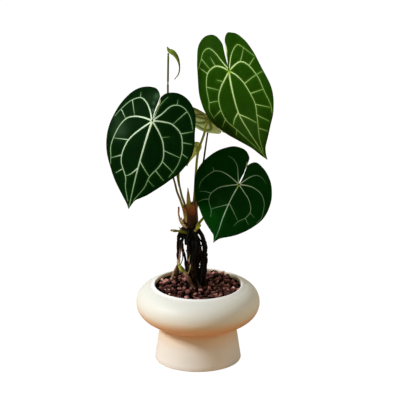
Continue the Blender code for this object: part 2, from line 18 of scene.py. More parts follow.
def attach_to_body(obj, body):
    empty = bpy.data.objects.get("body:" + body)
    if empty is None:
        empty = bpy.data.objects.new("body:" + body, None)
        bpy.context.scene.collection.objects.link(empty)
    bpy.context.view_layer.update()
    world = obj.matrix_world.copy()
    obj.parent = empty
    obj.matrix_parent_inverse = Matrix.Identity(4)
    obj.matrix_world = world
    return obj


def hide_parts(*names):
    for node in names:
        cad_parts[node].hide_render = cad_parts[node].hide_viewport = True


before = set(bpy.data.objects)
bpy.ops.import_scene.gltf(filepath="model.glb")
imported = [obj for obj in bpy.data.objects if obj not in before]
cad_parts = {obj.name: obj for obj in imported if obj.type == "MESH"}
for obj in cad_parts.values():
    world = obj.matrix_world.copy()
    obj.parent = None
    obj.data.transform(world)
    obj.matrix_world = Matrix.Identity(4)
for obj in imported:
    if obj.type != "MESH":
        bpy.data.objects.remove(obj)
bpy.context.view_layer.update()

# %% [markdown]
# ## Camera
# The photograph looks down on the plant by about 20 degrees, and its lines hardly converge. An
# orthographic camera would show no convergence at all, so a long lens from 10 m away is used,
# which gives the same flat look. The picture is 0.58 m wide at the pot.

# %% Camera
LOOK_DOWN = math.radians(20.4)
LOOK_AT = Vector((0.0029, 0.0, 0.2445))
CAMERA_AWAY = 10.0
FRAME_WIDTH = 0.5806
SENSOR = 36.0


def make_camera():
    data = bpy.data.cameras.new("photo_camera")
    data.sensor_width = SENSOR
    data.lens = SENSOR * CAMERA_AWAY / FRAME_WIDTH
    camera = bpy.data.objects.new("photo_camera", data)
    bpy.context.scene.collection.objects.link(camera)
    back = Vector((0.0, -math.cos(LOOK_DOWN), math.sin(LOOK_DOWN)))
    camera.location = LOOK_AT + back * CAMERA_AWAY
    camera.rotation_euler = (-back).to_track_quat("-Z", "Y").to_euler()
    bpy.context.scene.camera = camera
    return camera


print("lens", round(make_camera().data.lens), "mm")

# %% [markdown]
# ## Room
# The plant stands before pure white, in a soft light from the left, and warm light comes back
# from the table on its shaded side. A picture of a room could give the light, but three disk
# lamps and a plain warm world are easier to steer: one lamp at the left, a weak one behind for
# the edges, and a warm one at the right. The floor is a matt tabletop that warms the light it
# returns. To the camera it shows almost pure white, through a Light Path node, so only a trace
# of shadow stays.

# %% Floor and room light
FLOOR_SIZE, FLOOR_DROP = 6.0, 0.0002
TABLE_WARMTH, TABLE_ROUGHNESS = (0.60, 0.38, 0.20, 1.0), 0.95
# The camera sees this white on the floor, mixed over the table's own colour by this share.
SHOWN_WHITE, SHOWN_SHARE = 1.12, 0.9
ROOM_WARMTH, ROOM_STRENGTH = (1.0, 0.94, 0.82, 1.0), 0.33


def floor_paint():
    """Warm for the light that falls on the plant, near white for the camera."""
    paint = bpy.data.materials.new("floor_white")
    paint.use_nodes = True
    tree = paint.node_tree
    shader = tree.nodes["Principled BSDF"]
    shader.inputs["Base Color"].default_value = TABLE_WARMTH
    shader.inputs["Roughness"].default_value = TABLE_ROUGHNESS
    white = tree.nodes.new("ShaderNodeEmission")
    white.inputs["Strength"].default_value = SHOWN_WHITE
    shown = tree.nodes.new("ShaderNodeMixShader")
    seen = tree.nodes.new("ShaderNodeMath")
    seen.operation = "MULTIPLY"
    seen.inputs[1].default_value = SHOWN_SHARE
    tree.links.new(tree.nodes.new("ShaderNodeLightPath").outputs["Is Camera Ray"], seen.inputs[0])
    tree.links.new(seen.outputs[0], shown.inputs[0])
    tree.links.new(shader.outputs[0], shown.inputs[1])
    tree.links.new(white.outputs[0], shown.inputs[2])
    tree.links.new(shown.outputs[0], tree.nodes["Material Output"].inputs["Surface"])
    return paint


def make_room():
    work = bmesh.new()
    bmesh.ops.create_grid(work, x_segments=1, y_segments=1, size=FLOOR_SIZE / 2)
    bmesh.ops.translate(work, verts=work.verts, vec=(0.0, 0.0, -FLOOR_DROP))
    mesh = bpy.data.meshes.new("floor")
    work.to_mesh(mesh)
    work.free()
    mesh.materials.append(floor_paint())
    floor = bpy.data.objects.new("floor", mesh)
    bpy.context.scene.collection.objects.link(floor)
    world = bpy.data.worlds.new("soft_room")
    world.use_nodes = True
    light = world.node_tree.nodes["Background"]
    light.inputs["Color"].default_value = ROOM_WARMTH
    light.inputs["Strength"].default_value = ROOM_STRENGTH
    bpy.context.scene.world = world
    bpy.context.scene.view_settings.view_transform = "Standard"


make_room()
print("floor", FLOOR_SIZE, "m wide")

# %% Lamps
PLANT_MIDDLE = Vector((0.0, 0.0, 0.28))
# Each lamp: its direction from the plant, distance, size, power in watts, and colour.
LAMPS = {
    "key_lamp": ((-0.80, -0.30, 0.60), 3.2, 0.8, 91.0, (0.96, 1.0, 1.10)),
    "edge_lamp": ((-0.3, 0.9, 0.5), 3.0, 1.2, 10.0, (1.0, 1.0, 1.0)),
    "right_lamp": ((1.0, 0.1, 0.15), 3.2, 1.2, 14.0, (1.0, 0.93, 0.82)),
}


def aimed_lamp(name, direction, away, size, power, colour):
    """A disk lamp that shines on the plant from this direction."""
    data = bpy.data.lights.new(name, "AREA")
    data.shape = "DISK"
    data.size = size
    data.energy = power
    data.color = colour
    lamp = bpy.data.objects.new(name, data)
    bpy.context.scene.collection.objects.link(lamp)
    towards = Vector(direction).normalized()
    lamp.location = PLANT_MIDDLE + towards * away
    lamp.rotation_euler = (-towards).to_track_quat("-Z", "Y").to_euler()


for lamp_name, lamp_spec in LAMPS.items():
    aimed_lamp(lamp_name, *lamp_spec)
print("lamps", list(LAMPS))

# %% [markdown]
# ## Tools for finishes
# A finish is a Principled shader fed by a few nodes. It could be wired by hand in the shader
# editor. These helpers keep it short in a script: one adds a node and fills its sockets, one
# mixes two colours by a mask, one makes a ramp, one does sums, and one reads a value that the
# mesh carries at each corner.

# %% Finish helpers
def start_finish(name, roughness, gloss):
    """A new material, with its node tree and its shader."""
    finish = bpy.data.materials.new(name)
    finish.use_nodes = True
    shader = finish.node_tree.nodes["Principled BSDF"]
    shader.inputs["Roughness"].default_value = roughness
    shader.inputs["Specular IOR Level"].default_value = gloss
    return finish, finish.node_tree, shader


def fill(tree, socket, value):
    """Links the socket to another one, or sets its value."""
    if isinstance(value, bpy.types.NodeSocket):
        tree.links.new(value, socket)
    else:
        socket.default_value = value


def add(tree, kind, settings=None, **sockets):
    """A node of this kind. Its sockets are named, or numbered as i0, i1 and so on."""
    node = tree.nodes.new(kind)
    for key, value in (settings or {}).items():
        setattr(node, key, value)
    for key, value in sockets.items():
        fill(tree, node.inputs[int(key[1:]) if key.startswith("i") else key.replace("_", " ")], value)
    return node


def blend_colours(tree, mask, first, second, how="MIX"):
    """First where the mask is 0, second where it is 1. Colours are sockets or (r, g, b)."""
    node = add(tree, "ShaderNodeMix", {"data_type": "RGBA", "blend_type": how}, i0=mask)
    for socket, value in ((node.inputs[6], first), (node.inputs[7], second)):
        fill(tree, socket, (*value, 1.0) if isinstance(value, tuple) else value)
    return node.outputs[2]


def ramp(tree, value, stops):
    """A colour ramp with (place, colour) stops."""
    node = tree.nodes.new("ShaderNodeValToRGB")
    tree.links.new(value, node.inputs[0])
    band = node.color_ramp
    while len(band.elements) < len(stops):
        band.elements.new(0.5)
    for element, (place, colour) in zip(band.elements, stops):
        element.position = place
        element.color = (*colour, 1.0)
    return node.outputs[0]


def attribute(tree, name, output="Fac"):
    return add(tree, "ShaderNodeAttribute", {"attribute_name": name}).outputs[output]


def calculate(tree, how, first, second, third=0.5):
    """The third number counts only where the sum has one."""
    return add(tree, "ShaderNodeMath", {"operation": how}, i0=first, i1=second, i2=third).outputs[0]


def give_colour(tree, shader, colour):
    tree.links.new(colour, shader.inputs["Base Color"])


def bump(tree, shader, height, depth, strength):
    node = add(tree, "ShaderNodeBump", None, Height=height, Distance=depth, Strength=strength)
    tree.links.new(node.outputs[0], shader.inputs["Normal"])


def times(colour, factor):
    """A colour made lighter or darker."""
    return tuple(factor * part for part in colour)


print("darkened by half", times((1.0, 0.5, 0.2), 0.5))

# %% [markdown]
# Almost everything on a plant is mottled. Each finish could hold its own noise, but one node
# group that makes soft spots and a finer grain serves them all, each with its own scale.

# %% Shared group: mottle
GRAIN_FINER = 7.0


def make_mottle():
    group = bpy.data.node_groups.new("mottle", "ShaderNodeTree")
    group.interface.new_socket("Vector", in_out="INPUT", socket_type="NodeSocketVector")
    scale = group.interface.new_socket("Scale", in_out="INPUT", socket_type="NodeSocketFloat")
    scale.default_value = 100.0
    group.interface.new_socket("Spots", in_out="OUTPUT", socket_type="NodeSocketFloat")
    group.interface.new_socket("Grain", in_out="OUTPUT", socket_type="NodeSocketFloat")
    ins = group.nodes.new("NodeGroupInput")
    outs = group.nodes.new("NodeGroupOutput")
    spots = add(group, "ShaderNodeTexNoise", None, Vector=ins.outputs["Vector"],
                Scale=ins.outputs["Scale"], Detail=3.0, Roughness=0.55)
    finer = calculate(group, "MULTIPLY", ins.outputs["Scale"], GRAIN_FINER)
    grain = add(group, "ShaderNodeTexNoise", None, Vector=ins.outputs["Vector"], Scale=finer,
                Detail=2.0, Roughness=0.6)
    group.links.new(spots.outputs[0], outs.inputs["Spots"])
    group.links.new(grain.outputs[0], outs.inputs["Grain"])
    return group


MOTTLE = make_mottle()


def mottle(tree, scale):
    """Spots and grain on the object's own coordinates."""
    place = add(tree, "ShaderNodeTexCoord").outputs["Object"]
    node = add(tree, "ShaderNodeGroup", {"node_tree": MOTTLE}, Vector=place, Scale=scale)
    return node.outputs["Spots"], node.outputs["Grain"]


print("shared groups", [group.name for group in bpy.data.node_groups])

# %% [markdown]
# ## Tools for pieces
# A piece is modelled in a bmesh, made a mesh, attached to the body it rides on and given its
# finish slots, and the measured solids it stands for are hidden. One helper does that for every
# piece, so none of it is forgotten. A second one draws smooth curves through a few chosen points,
# for roots, petioles and veins.

# %% Piece helpers
def make_piece(name, work, finishes, nodes, smooth=True):
    """Turns the bmesh into a finished piece of the object."""
    mesh = bpy.data.meshes.new(name)
    work.to_mesh(mesh)
    work.free()
    if smooth:
        mesh.shade_smooth()
    for finish in finishes:
        mesh.materials.append(finish)
    piece = bpy.data.objects.new(name, mesh)
    bpy.context.scene.collection.objects.link(piece)
    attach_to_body(piece, "root")
    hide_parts(*nodes)
    print(name, len(mesh.polygons), "faces")
    return piece


def smooth_path(points, steps):
    """Points of a smooth curve through the given ones, in even shares of their spans."""
    points = [Vector(point) for point in points]
    padded = [2 * points[0] - points[1], *points, 2 * points[-1] - points[-2]]
    spans = len(points) - 1
    path = []
    for i in range(steps + 1):
        place = min(i / steps * spans, spans - 1e-9)
        k = int(place)
        t = place - k
        a, b, c, d = padded[k:k + 4]
        path.append(0.5 * (2 * b + (c - a) * t + (2 * a - 5 * b + 4 * c - d) * t * t
                           + (3 * b - a - 3 * c + d) * t ** 3))
    return path


def run_between(start, end, share):
    return start + (end - start) * share


# %% [markdown]
# ## Pot
# The real pot is one thrown and fired piece: a doughnut-like bowl with a rounded lip on a flared
# foot. It could be modelled from a cylinder, but anything turned is easiest as half of its
# outline, spun round the axis. The outline uses a superellipse, which is rounder than a circle
# at its shoulder.

# %% Pot outline
BOWL_RADIUS, BOWL_LEVEL, BOWL_CORE = 0.0900, 0.0860, 0.0520
BOWL_TOP, BOWL_UNDERSIDE = 0.1146, 0.0560
LIP_RADIUS, LIP_THICKNESS = 0.0645, 0.0034
FOOT_RADIUS, NECK_RADIUS, FOOT_EDGE = 0.0626, 0.0548, 0.0016
WALL, FLOOR = 0.0050, 0.0065
# How square the bowl's curve is above and below its widest place. An ellipse has 2.
SHOULDER_POWER, BELLY_POWER = 2.2, 2.0
HAIR = 0.0002


def bowl_arc(width, height, start, end, count, power):
    """Part of the bowl's superellipse, between two angles in degrees from outwards."""
    points = []
    for i in range(count):
        angle = math.radians(run_between(start, end, i / (count - 1)))
        c, s = math.cos(angle), math.sin(angle)
        points.append((BOWL_CORE + width * math.copysign(abs(c) ** (2 / power), c),
                       BOWL_LEVEL + height * math.copysign(abs(s) ** (2 / power), s)))
    return points


def lip_arc(angles):
    """Points of the rounded lip, at these angles from straight up."""
    bend = LIP_THICKNESS / 2
    return [(LIP_RADIUS - HAIR + bend * math.sin(a), BOWL_TOP - bend + bend * math.cos(a)) for a in angles]


def foot_outline():
    """From the hollow bend of the neck down the flare, and along the flat underside."""
    bend = [(NECK_RADIUS + 0.0010, BOWL_UNDERSIDE + HAIR), (NECK_RADIUS + HAIR, BOWL_UNDERSIDE - 0.0008)]
    flare = [(run_between(NECK_RADIUS + 0.0004, FOOT_RADIUS, i / 9),
              run_between(BOWL_UNDERSIDE - 0.0030, FOOT_EDGE, i / 9)) for i in range(10)]
    under = [(FOOT_RADIUS - 0.0005, 0.0005), (FOOT_RADIUS - FOOT_EDGE, 0.0), (FOOT_RADIUS - 0.010, 0.0),
             (0.0, 0.0)]
    return bend + flare + under


def pot_outline():
    """(radius, height) points from the middle of the lip, down the outside and back up the inside."""
    wide, tall, deep = BOWL_RADIUS - BOWL_CORE, BOWL_TOP - BOWL_LEVEL, BOWL_LEVEL - BOWL_UNDERSIDE
    outside = bowl_arc(wide, BOWL_TOP - 2 * HAIR - BOWL_LEVEL, 66, 4, 22, SHOULDER_POWER)
    outside += bowl_arc(wide, deep, 0, -80, 24, BELLY_POWER)
    inside = [(0.0, FLOOR), (FOOT_RADIUS - WALL, FLOOR), (NECK_RADIUS - WALL, BOWL_UNDERSIDE - 0.002)]
    inside += bowl_arc(wide - WALL, deep - WALL, -70, -6, 9, BELLY_POWER)
    inside += bowl_arc(wide - WALL, tall - WALL, 4, 52, 9, SHOULDER_POWER)
    opening = LIP_RADIUS - LIP_THICKNESS / 2 - HAIR
    inside += [(opening, BOWL_TOP - 0.0060), (opening, BOWL_TOP - LIP_THICKNESS / 2 - 0.0004)]
    return lip_arc((0.0, 0.35, 0.7)) + outside + foot_outline() + inside + lip_arc((-1.2, -0.8, -0.4))


print("pot outline", len(pot_outline()), "points")

# %% Spin the pot
TURNS = 128


def spin_outline(outline, steps):
    """A bmesh turned round Z from a closed outline of (radius, height) points."""
    work = bmesh.new()
    corners = [work.verts.new((radius, 0.0, height)) for radius, height in outline]
    edges = [work.edges.new(pair) for pair in zip(corners, corners[1:])]
    edges.append(work.edges.new((corners[-1], corners[0])))
    bmesh.ops.spin(work, geom=corners + edges, cent=(0.0, 0.0, 0.0), axis=(0.0, 0.0, 1.0),
                   angle=2 * math.pi, steps=steps, use_merge=True)
    bmesh.ops.remove_doubles(work, verts=work.verts, dist=1e-6)
    bmesh.ops.dissolve_degenerate(work, dist=1e-7, edges=work.edges)
    bmesh.ops.recalc_face_normals(work, faces=work.faces)
    return work


turned_pot = spin_outline(pot_outline(), TURNS)
print("turned pot", len(turned_pot.faces), "faces")

# %% [markdown]
# The pot's cream body is unglazed and satin. Very fine tooth, faint throwing lines and a little
# warm cloudiness keep it from looking like plastic. The warm glow under the bowl is painted warm
# bounce light, and the fine bright line along the lip is a painted highlight. Lamps alone don't
# give them, so the clay's colour is a ramp over its height that holds both. Inside the bowl the
# clay is painted warmer still, as painted warm shade.

# %% Pot finish
# The clay's colour at each share of the pot's height. Between 0.24 and 0.80 it holds painted warm
# bounce light under the bowl, and from 0.988 up a painted highlight along the lip.
CLAY_WITH_PAINTED_LIGHT = (
    (0.0, (0.86, 0.85, 0.77)), (0.24, (0.84, 0.80, 0.69)), (0.40, (0.81, 0.65, 0.45)),
    (0.49, (0.78, 0.40, 0.18)), (0.57, (0.78, 0.42, 0.20)), (0.65, (0.78, 0.55, 0.35)),
    (0.73, (0.81, 0.76, 0.62)), (0.80, (0.82, 0.82, 0.71)), (0.975, (0.83, 0.83, 0.74)),
    (0.988, (0.99, 0.99, 0.95)), (1.0, (1.0, 1.0, 0.97)))
CLOUD, CLOUD_STRENGTH = (0.62, 0.54, 0.38), 0.12
INSIDE_PAINTED_WARM_SHADE = (0.80, 0.64, 0.42)


def ceramic_finish():
    finish, tree, shader = start_finish("cream_ceramic", 0.5, 0.35)
    spots, grain = mottle(tree, 22.0)
    place = add(tree, "ShaderNodeTexCoord").outputs["Object"]
    height = add(tree, "ShaderNodeSeparateXYZ", None, Vector=place).outputs["Z"]
    level = add(tree, "ShaderNodeMapRange", None, Value=height, From_Min=0.0, From_Max=BOWL_TOP)
    # This ramp holds painted warm bounce light under the bowl and a painted highlight at the lip.
    clay = ramp(tree, level.outputs[0], CLAY_WITH_PAINTED_LIGHT)
    cloudy = blend_colours(tree, calculate(tree, "MULTIPLY", spots, CLOUD_STRENGTH), clay, CLOUD)
    # Painted warm shade on the inside wall of the bowl.
    level_place = add(tree, "ShaderNodeVectorMath", {"operation": "MULTIPLY"}, i0=place, i1=(1.0, 1.0, 0.0))
    radius = add(tree, "ShaderNodeVectorMath", {"operation": "LENGTH"}, i0=level_place.outputs[0])
    near = calculate(tree, "LESS_THAN", radius.outputs["Value"], LIP_RADIUS - 0.0015)
    painted_shade_inside = calculate(tree, "MULTIPLY", near, calculate(tree, "GREATER_THAN", height, BOWL_LEVEL))
    give_colour(tree, shader, blend_colours(tree, painted_shade_inside, cloudy, INSIDE_PAINTED_WARM_SHADE))
    rings = add(tree, "ShaderNodeTexWave", {"bands_direction": "Z"}, Vector=place,
                Scale=90.0, Distortion=1.5, Detail=1.0)
    bump(tree, shader, blend_colours(tree, 0.25, grain, rings.outputs[0]), 0.00012, 0.5)
    rough = add(tree, "ShaderNodeMapRange", None, Value=spots, To_Min=0.42, To_Max=0.58)
    tree.links.new(rough.outputs[0], shader.inputs["Roughness"])
    return finish


make_piece("pot_turned", turned_pot, [ceramic_finish()], ["pot"])

# %% [markdown]
# ## Lava grit
# The pot is filled with loose broken lava, mostly 4 to 7 mm where it shows, heaped round the stem
# and towards the back right. The stones could be rocks of a few kinds, placed by hand. Here each
# one is the hull of a few points scattered in a shell round a squashed ball: that gives the flat
# faces and sharp corners of broken rock with 18 faces at most. A spiral with the golden angle
# spreads the stones evenly, in four layers, over a bed that fills the pot. The lower layers have
# the larger stones, because those lie half hidden.

# %% Broken stones
GRIT_LEVEL = 0.1068
GRIT_REACH = 0.0610
GRIT_SEED = 12
# Each layer: stones, height over the grit, smallest and largest radius in mm.
LAYERS = ((200, -3.0, 3.8, 5.2), (120, -0.2, 3.8, 6.2), (46, 2.4, 2.8, 4.6), (60, 2.6, 1.2, 2.2))
# Each heap: middle x and y, spread and height in mm.
HEAPS = ((-11, -8, 22, 7.0), (-33, 12, 13, 8.0), (29, 40, 18, 7.0), (0, 44, 22, 2.5), (-46, 4, 14, 3.0))
GOLDEN_ANGLE = math.pi * (3 - math.sqrt(5))
STONE_CORNERS, STONE_LENGTH = 11, 1.15
SHELL = (0.72, 1.15)


def broken_stone(work, place, size, rng):
    """The hull of points scattered round a squashed ball; returns its corners."""
    squash = Vector((STONE_LENGTH, rng.uniform(0.55, 1.0), rng.uniform(0.6, 0.95)))
    turn = Matrix.Rotation(rng.uniform(0, 6.28), 3, "Z") @ Matrix.Rotation(rng.uniform(-0.9, 0.9), 3, "X")
    corners = []
    for _ in range(STONE_CORNERS):
        way = Vector((rng.gauss(0, 1), rng.gauss(0, 1), rng.gauss(0, 1))).normalized()
        corners.append(work.verts.new(place + turn @ (way * squash) * size * rng.uniform(*SHELL)))
    hull = bmesh.ops.convex_hull(work, input=corners)
    inner = [part for part in hull["geom_interior"] if isinstance(part, bmesh.types.BMVert)]
    bmesh.ops.delete(work, geom=inner, context="VERTS")
    return [corner for corner in corners if corner.is_valid]


def grit_height(x, y):
    """The surface is heaped round the stem and at the back, and dips a little in between."""
    heaped = sum(tall * math.exp(-((x * 1000 - a) ** 2 + (y * 1000 - b) ** 2) / spread ** 2)
                 for a, b, spread, tall in HEAPS)
    return GRIT_LEVEL + 0.001 * heaped + 0.0008 * noise.noise(Vector((x * 60, y * 60, 3.0)))


print("grit at the stem", round(1000 * grit_height(-0.011, -0.008), 1), "mm up")

# %% Fill the pot
GRIT_ROOM = 0.0004
GRIT_EDGE = LIP_RADIUS - LIP_THICKNESS / 2 - 0.0008
BED_DEPTH = 0.0035
BED_TURNS = 64
# Painted shade: a stone's corner is this light at the surface, and so much lighter for each metre
# above it, darker below, as little light gets down between the stones.
PAINTED_SHADE_AT_SURFACE, PAINTED_SHADE_LIFT_PER_METRE = 0.52, 165


def grit_bed():
    """The outline of the plug of grit under the stones, a little clear of the pot's wall."""
    wide = BOWL_RADIUS - BOWL_CORE - WALL - GRIT_ROOM
    foot = [(FOOT_RADIUS - WALL - GRIT_ROOM, FLOOR + GRIT_ROOM),
            (NECK_RADIUS - WALL - GRIT_ROOM, BOWL_UNDERSIDE - 0.002)]
    belly = bowl_arc(wide, BOWL_LEVEL - BOWL_UNDERSIDE - WALL - GRIT_ROOM, -70, -6, 6, BELLY_POWER)
    shoulder = bowl_arc(wide, BOWL_TOP - BOWL_LEVEL - WALL - GRIT_ROOM, 4, 40, 4, SHOULDER_POWER)
    top = [(0.0, GRIT_LEVEL - BED_DEPTH), (GRIT_EDGE, GRIT_LEVEL - BED_DEPTH)]
    return top + shoulder[::-1] + belly[::-1] + foot[::-1] + [(0.0, FLOOR + GRIT_ROOM)]


def make_grit():
    rng = random.Random(GRIT_SEED)
    work = spin_outline(grit_bed(), BED_TURNS)
    tone = work.verts.layers.float.new("tone")
    for count, lift, small, large in LAYERS:
        for i in range(count):
            size = rng.uniform(small, large) / 1000
            radius = min(GRIT_REACH * math.sqrt((i + 0.5) / count), GRIT_EDGE - 0.85 * size)
            bearing = i * GOLDEN_ANGLE + lift
            x = radius * math.cos(bearing) + rng.uniform(-0.0008, 0.0008)
            y = radius * math.sin(bearing) + rng.uniform(-0.0008, 0.0008)
            surface = grit_height(x, y)
            height = surface + (lift + rng.uniform(-1.2, 0.6)) / 1000
            shade = rng.uniform(0.25, 1.0)
            for corner in broken_stone(work, Vector((x, y, height)), size, rng):
                # Painted shade: the lower the corner lies, the darker it is.
                up = PAINTED_SHADE_AT_SURFACE + PAINTED_SHADE_LIFT_PER_METRE * (corner.co.z - surface)
                corner[tone] = shade * min(1.0, max(0.0, up))
    return work


stones = make_grit()
print("stones and their bed", len(stones.faces), "faces")

# %% [markdown]
# Lava is porous and mostly rust brown, with some stones nearly black and some pinkish. Lamps
# alone leave the gaps between the stones too light. So each stone has one random tone, painted
# shade darkens each of its corners the deeper it lies, and a ramp turns the shaded tone into its
# colour.

# %% Lava finish
# The lava's colour at each tone, painted shade included.
LAVA = (
    (0.0, (0.004, 0.002, 0.0015)), (0.20, (0.050, 0.017, 0.013)), (0.45, (0.17, 0.062, 0.048)),
    (0.75, (0.42, 0.180, 0.140)), (1.0, (0.74, 0.42, 0.34)))


def lava_finish():
    finish, tree, shader = start_finish("rust_lava", 0.85, 0.12)
    spots, grain = mottle(tree, 420.0)
    porous = calculate(tree, "MULTIPLY_ADD", spots, 0.9, 0.5)
    body = ramp(tree, attribute(tree, "tone"), LAVA)
    give_colour(tree, shader, blend_colours(tree, 1.0, body, porous, "MULTIPLY"))
    bump(tree, shader, blend_colours(tree, 0.5, spots, grain), 0.0004, 0.6)
    return finish


make_piece("lava_stones", stones, [lava_finish()], ["lava_grit"], smooth=False)

# %% [markdown]
# ## Stem and aerial roots
# The stem stands on a cage of roots. A root is a tube: one ring, extruded from point to point
# along a smooth path, and turned to face along it each time. A curve with a bevel would do too,
# but a mesh lets noise swell and pinch it, and lets each corner carry a tint: old roots are
# nearly black and young ones tan or green.

# %% Tube helper
def grow_tube(work, path, radii, sides, layer, tints):
    """Extrudes a ring along the path, closes both ends, and returns its corners."""
    def turned(i):
        ahead = path[min(i + 1, len(path) - 1)] - path[max(i - 1, 0)]
        return ahead.to_track_quat("Z", "Y").to_matrix().to_4x4()

    place = Matrix.Translation(path[0]) @ turned(0)
    first = bmesh.ops.create_circle(work, cap_ends=True, segments=sides, radius=radii[0], matrix=place)
    ring = first["verts"]
    made = list(ring)
    for corner in ring:
        corner[layer] = tints[0]
    edges = list({edge for corner in ring for edge in corner.link_edges})
    for i in range(1, len(path)):
        grown = bmesh.ops.extrude_edge_only(work, edges=edges)["geom"]
        corners = [part for part in grown if isinstance(part, bmesh.types.BMVert)]
        edges = [part for part in grown if isinstance(part, bmesh.types.BMEdge) and part.is_boundary]
        twist = turned(i).to_quaternion() @ turned(i - 1).to_quaternion().inverted()
        share = radii[i] / radii[i - 1]
        move = (Matrix.Translation(path[i]) @ twist.to_matrix().to_4x4() @ Matrix.Scale(share, 4)
                @ Matrix.Translation(-path[i - 1]))
        bmesh.ops.transform(work, matrix=move, verts=corners)
        made += corners
        for corner in corners:
            corner[layer] = tints[i]
    bmesh.ops.contextual_create(work, geom=edges)
    return made


def knobbly(corners, centre_line, depth, pitch, seed):
    """Pushes the corners of a tube in and out from its middle line by noise."""
    for corner in corners:
        nearest = min(centre_line, key=lambda point: (point - corner.co).length_squared)
        out = corner.co - nearest
        if out.length > 1e-6:
            lump = noise.noise(corner.co * pitch + seed) + 0.5 * noise.noise(corner.co * pitch * 2.7 + seed)
            corner.co += out.normalized() * lump * depth


# %% Root paths
STEM_FOOT, CROWN = Vector((-0.0062, 0.0, 0.0960)), Vector((-0.0115, 0.0, 0.2180))
CROWN_RADIUS = 0.0106
BLACK, BROWN, TAN, OLIVE, LIME = 0.0, 0.3, 0.6, 0.8, 1.0
ALL_BLACK = (BLACK, BLACK)

# Each root: its points from the stem to the grit, its first and last radius in mm, its tints.
ROOTS = (
    (((-15.0, -3, 196), (-27.0, -5, 189), (-29.3, -6, 168), (-29.0, -6, 143), (-31.0, 2, 126),
      (-33.0, 9, 106)), 1.9, 2.0, (BLACK, BLACK, BLACK, BROWN, 0.25, 0.20)),
    (((-15.0, 2, 193), (-22.8, 4, 183), (-22.3, 5, 168), (-18.6, 6, 150), (-16.5, 7, 125),
      (-16.5, 7, 101)), 1.9, 2.0, (BLACK, BLACK, BROWN, BLACK, BLACK, BLACK)),
    (((-14.0, -8, 193), (-24.9, -11, 186), (-26.0, -13, 168), (-27.4, -14, 152), (-27.0, -15, 146),
      (-21.0, -17, 139)), 1.1, 1.4, (BLACK, BLACK, 0.52, TAN, LIME, OLIVE)),
    (((-26.0, -16, 149), (-24.0, -17, 146.5), (-20.5, -17, 141), (-15.0, -17, 131), (-9.0, -16, 119),
      (-4.0, -15, 106)), 1.8, 3.1, (0.93, 0.82, 0.77, 0.43, 0.41, 0.38)),
    (((-12.0, 0, 205), (-20.0, -2, 202.5), (-26.0, -4, 197), (-28.8, -6, 185), (-28.8, -7, 166),
      (-28.6, -7, 146)), 3.0, 1.6, (BLACK, BLACK, BLACK, BLACK, BLACK, BROWN)),
    (((-8.0, -4, 204), (0.5, -7, 199), (6.0, -7, 190), (8.5, -7, 177), (8.3, -6, 160), (8.0, -5, 140),
      (8.0, -4, 101)), 3.0, 2.6, ALL_BLACK),
    (((-10.0, -5, 203), (-14.0, -12, 196), (-16.0, -14, 186), (-12.0, -15, 172), (-14.0, -14, 155),
      (-11.0, -13, 136), (-13.0, -12, 118), (-12.0, -10, 101)), 2.4, 2.0,
     (BLACK, BLACK, BLACK, BLACK, 0.2, BLACK, 0.25, BLACK)),
    (((-9.0, -5, 203), (-4.0, -12, 196), (-2.0, -13, 186), (-3.0, -14, 172), (-6.0, -13, 152),
      (-3.5, -12, 130), (-5.0, -12, 113), (-5.0, -10, 101)), 2.4, 2.0,
     (BLACK, BLACK, BLACK, BLACK, BLACK, 0.25, BLACK, BLACK)),
    (((-6.0, -1, 199), (5.0, -2, 192), (10.3, -3, 179), (11.6, -3, 162), (10.8, -3, 144),
      (9.2, -3, 123), (9.2, -3, 101)), 2.3, 2.7, ALL_BLACK),
    (((-8.0, -6, 189), (-3.0, -10, 177), (4.0, -9, 162), (7.2, -10, 145), (3.0, -11, 124),
      (3.0, -11, 101)), 1.7, 2.0, ALL_BLACK),
    (((-12.0, -8, 188), (-15.0, -13, 170), (-13.5, -14, 150), (-16.5, -13, 130), (-15.0, -12, 113),
      (-15.0, -12, 101)), 1.9, 1.9, (BLACK, BROWN, BROWN, BLACK, BLACK, BLACK)),
    (((-9.0, -8, 186), (-7.5, -14, 168), (-9.5, -14.5, 148), (-7.0, -13, 128), (-2.2, -15.8, 113),
      (-2.2, -15.8, 101)), 2.0, 2.1, (BLACK, BLACK, BROWN, BROWN, BLACK, BLACK)),
    (((-11.0, 7, 193), (-14.0, 15, 178), (-12.0, 16, 154), (-15.0, 15, 128), (-15.0, 15, 101)),
     1.9, 2.1, ALL_BLACK),
    (((-6.0, 7, 193), (1.0, 14, 178), (3.0, 15, 154), (-1.3, 14.3, 128), (-1.3, 14.3, 101)),
     1.8, 2.2, ALL_BLACK),
    (((-5.0, 3, 187), (3.0, 6, 170), (5.2, 6.2, 148), (3.0, 6.2, 126), (4.7, 6.2, 101)),
     1.9, 2.0, ALL_BLACK),
)
print("placed roots", len(ROOTS))

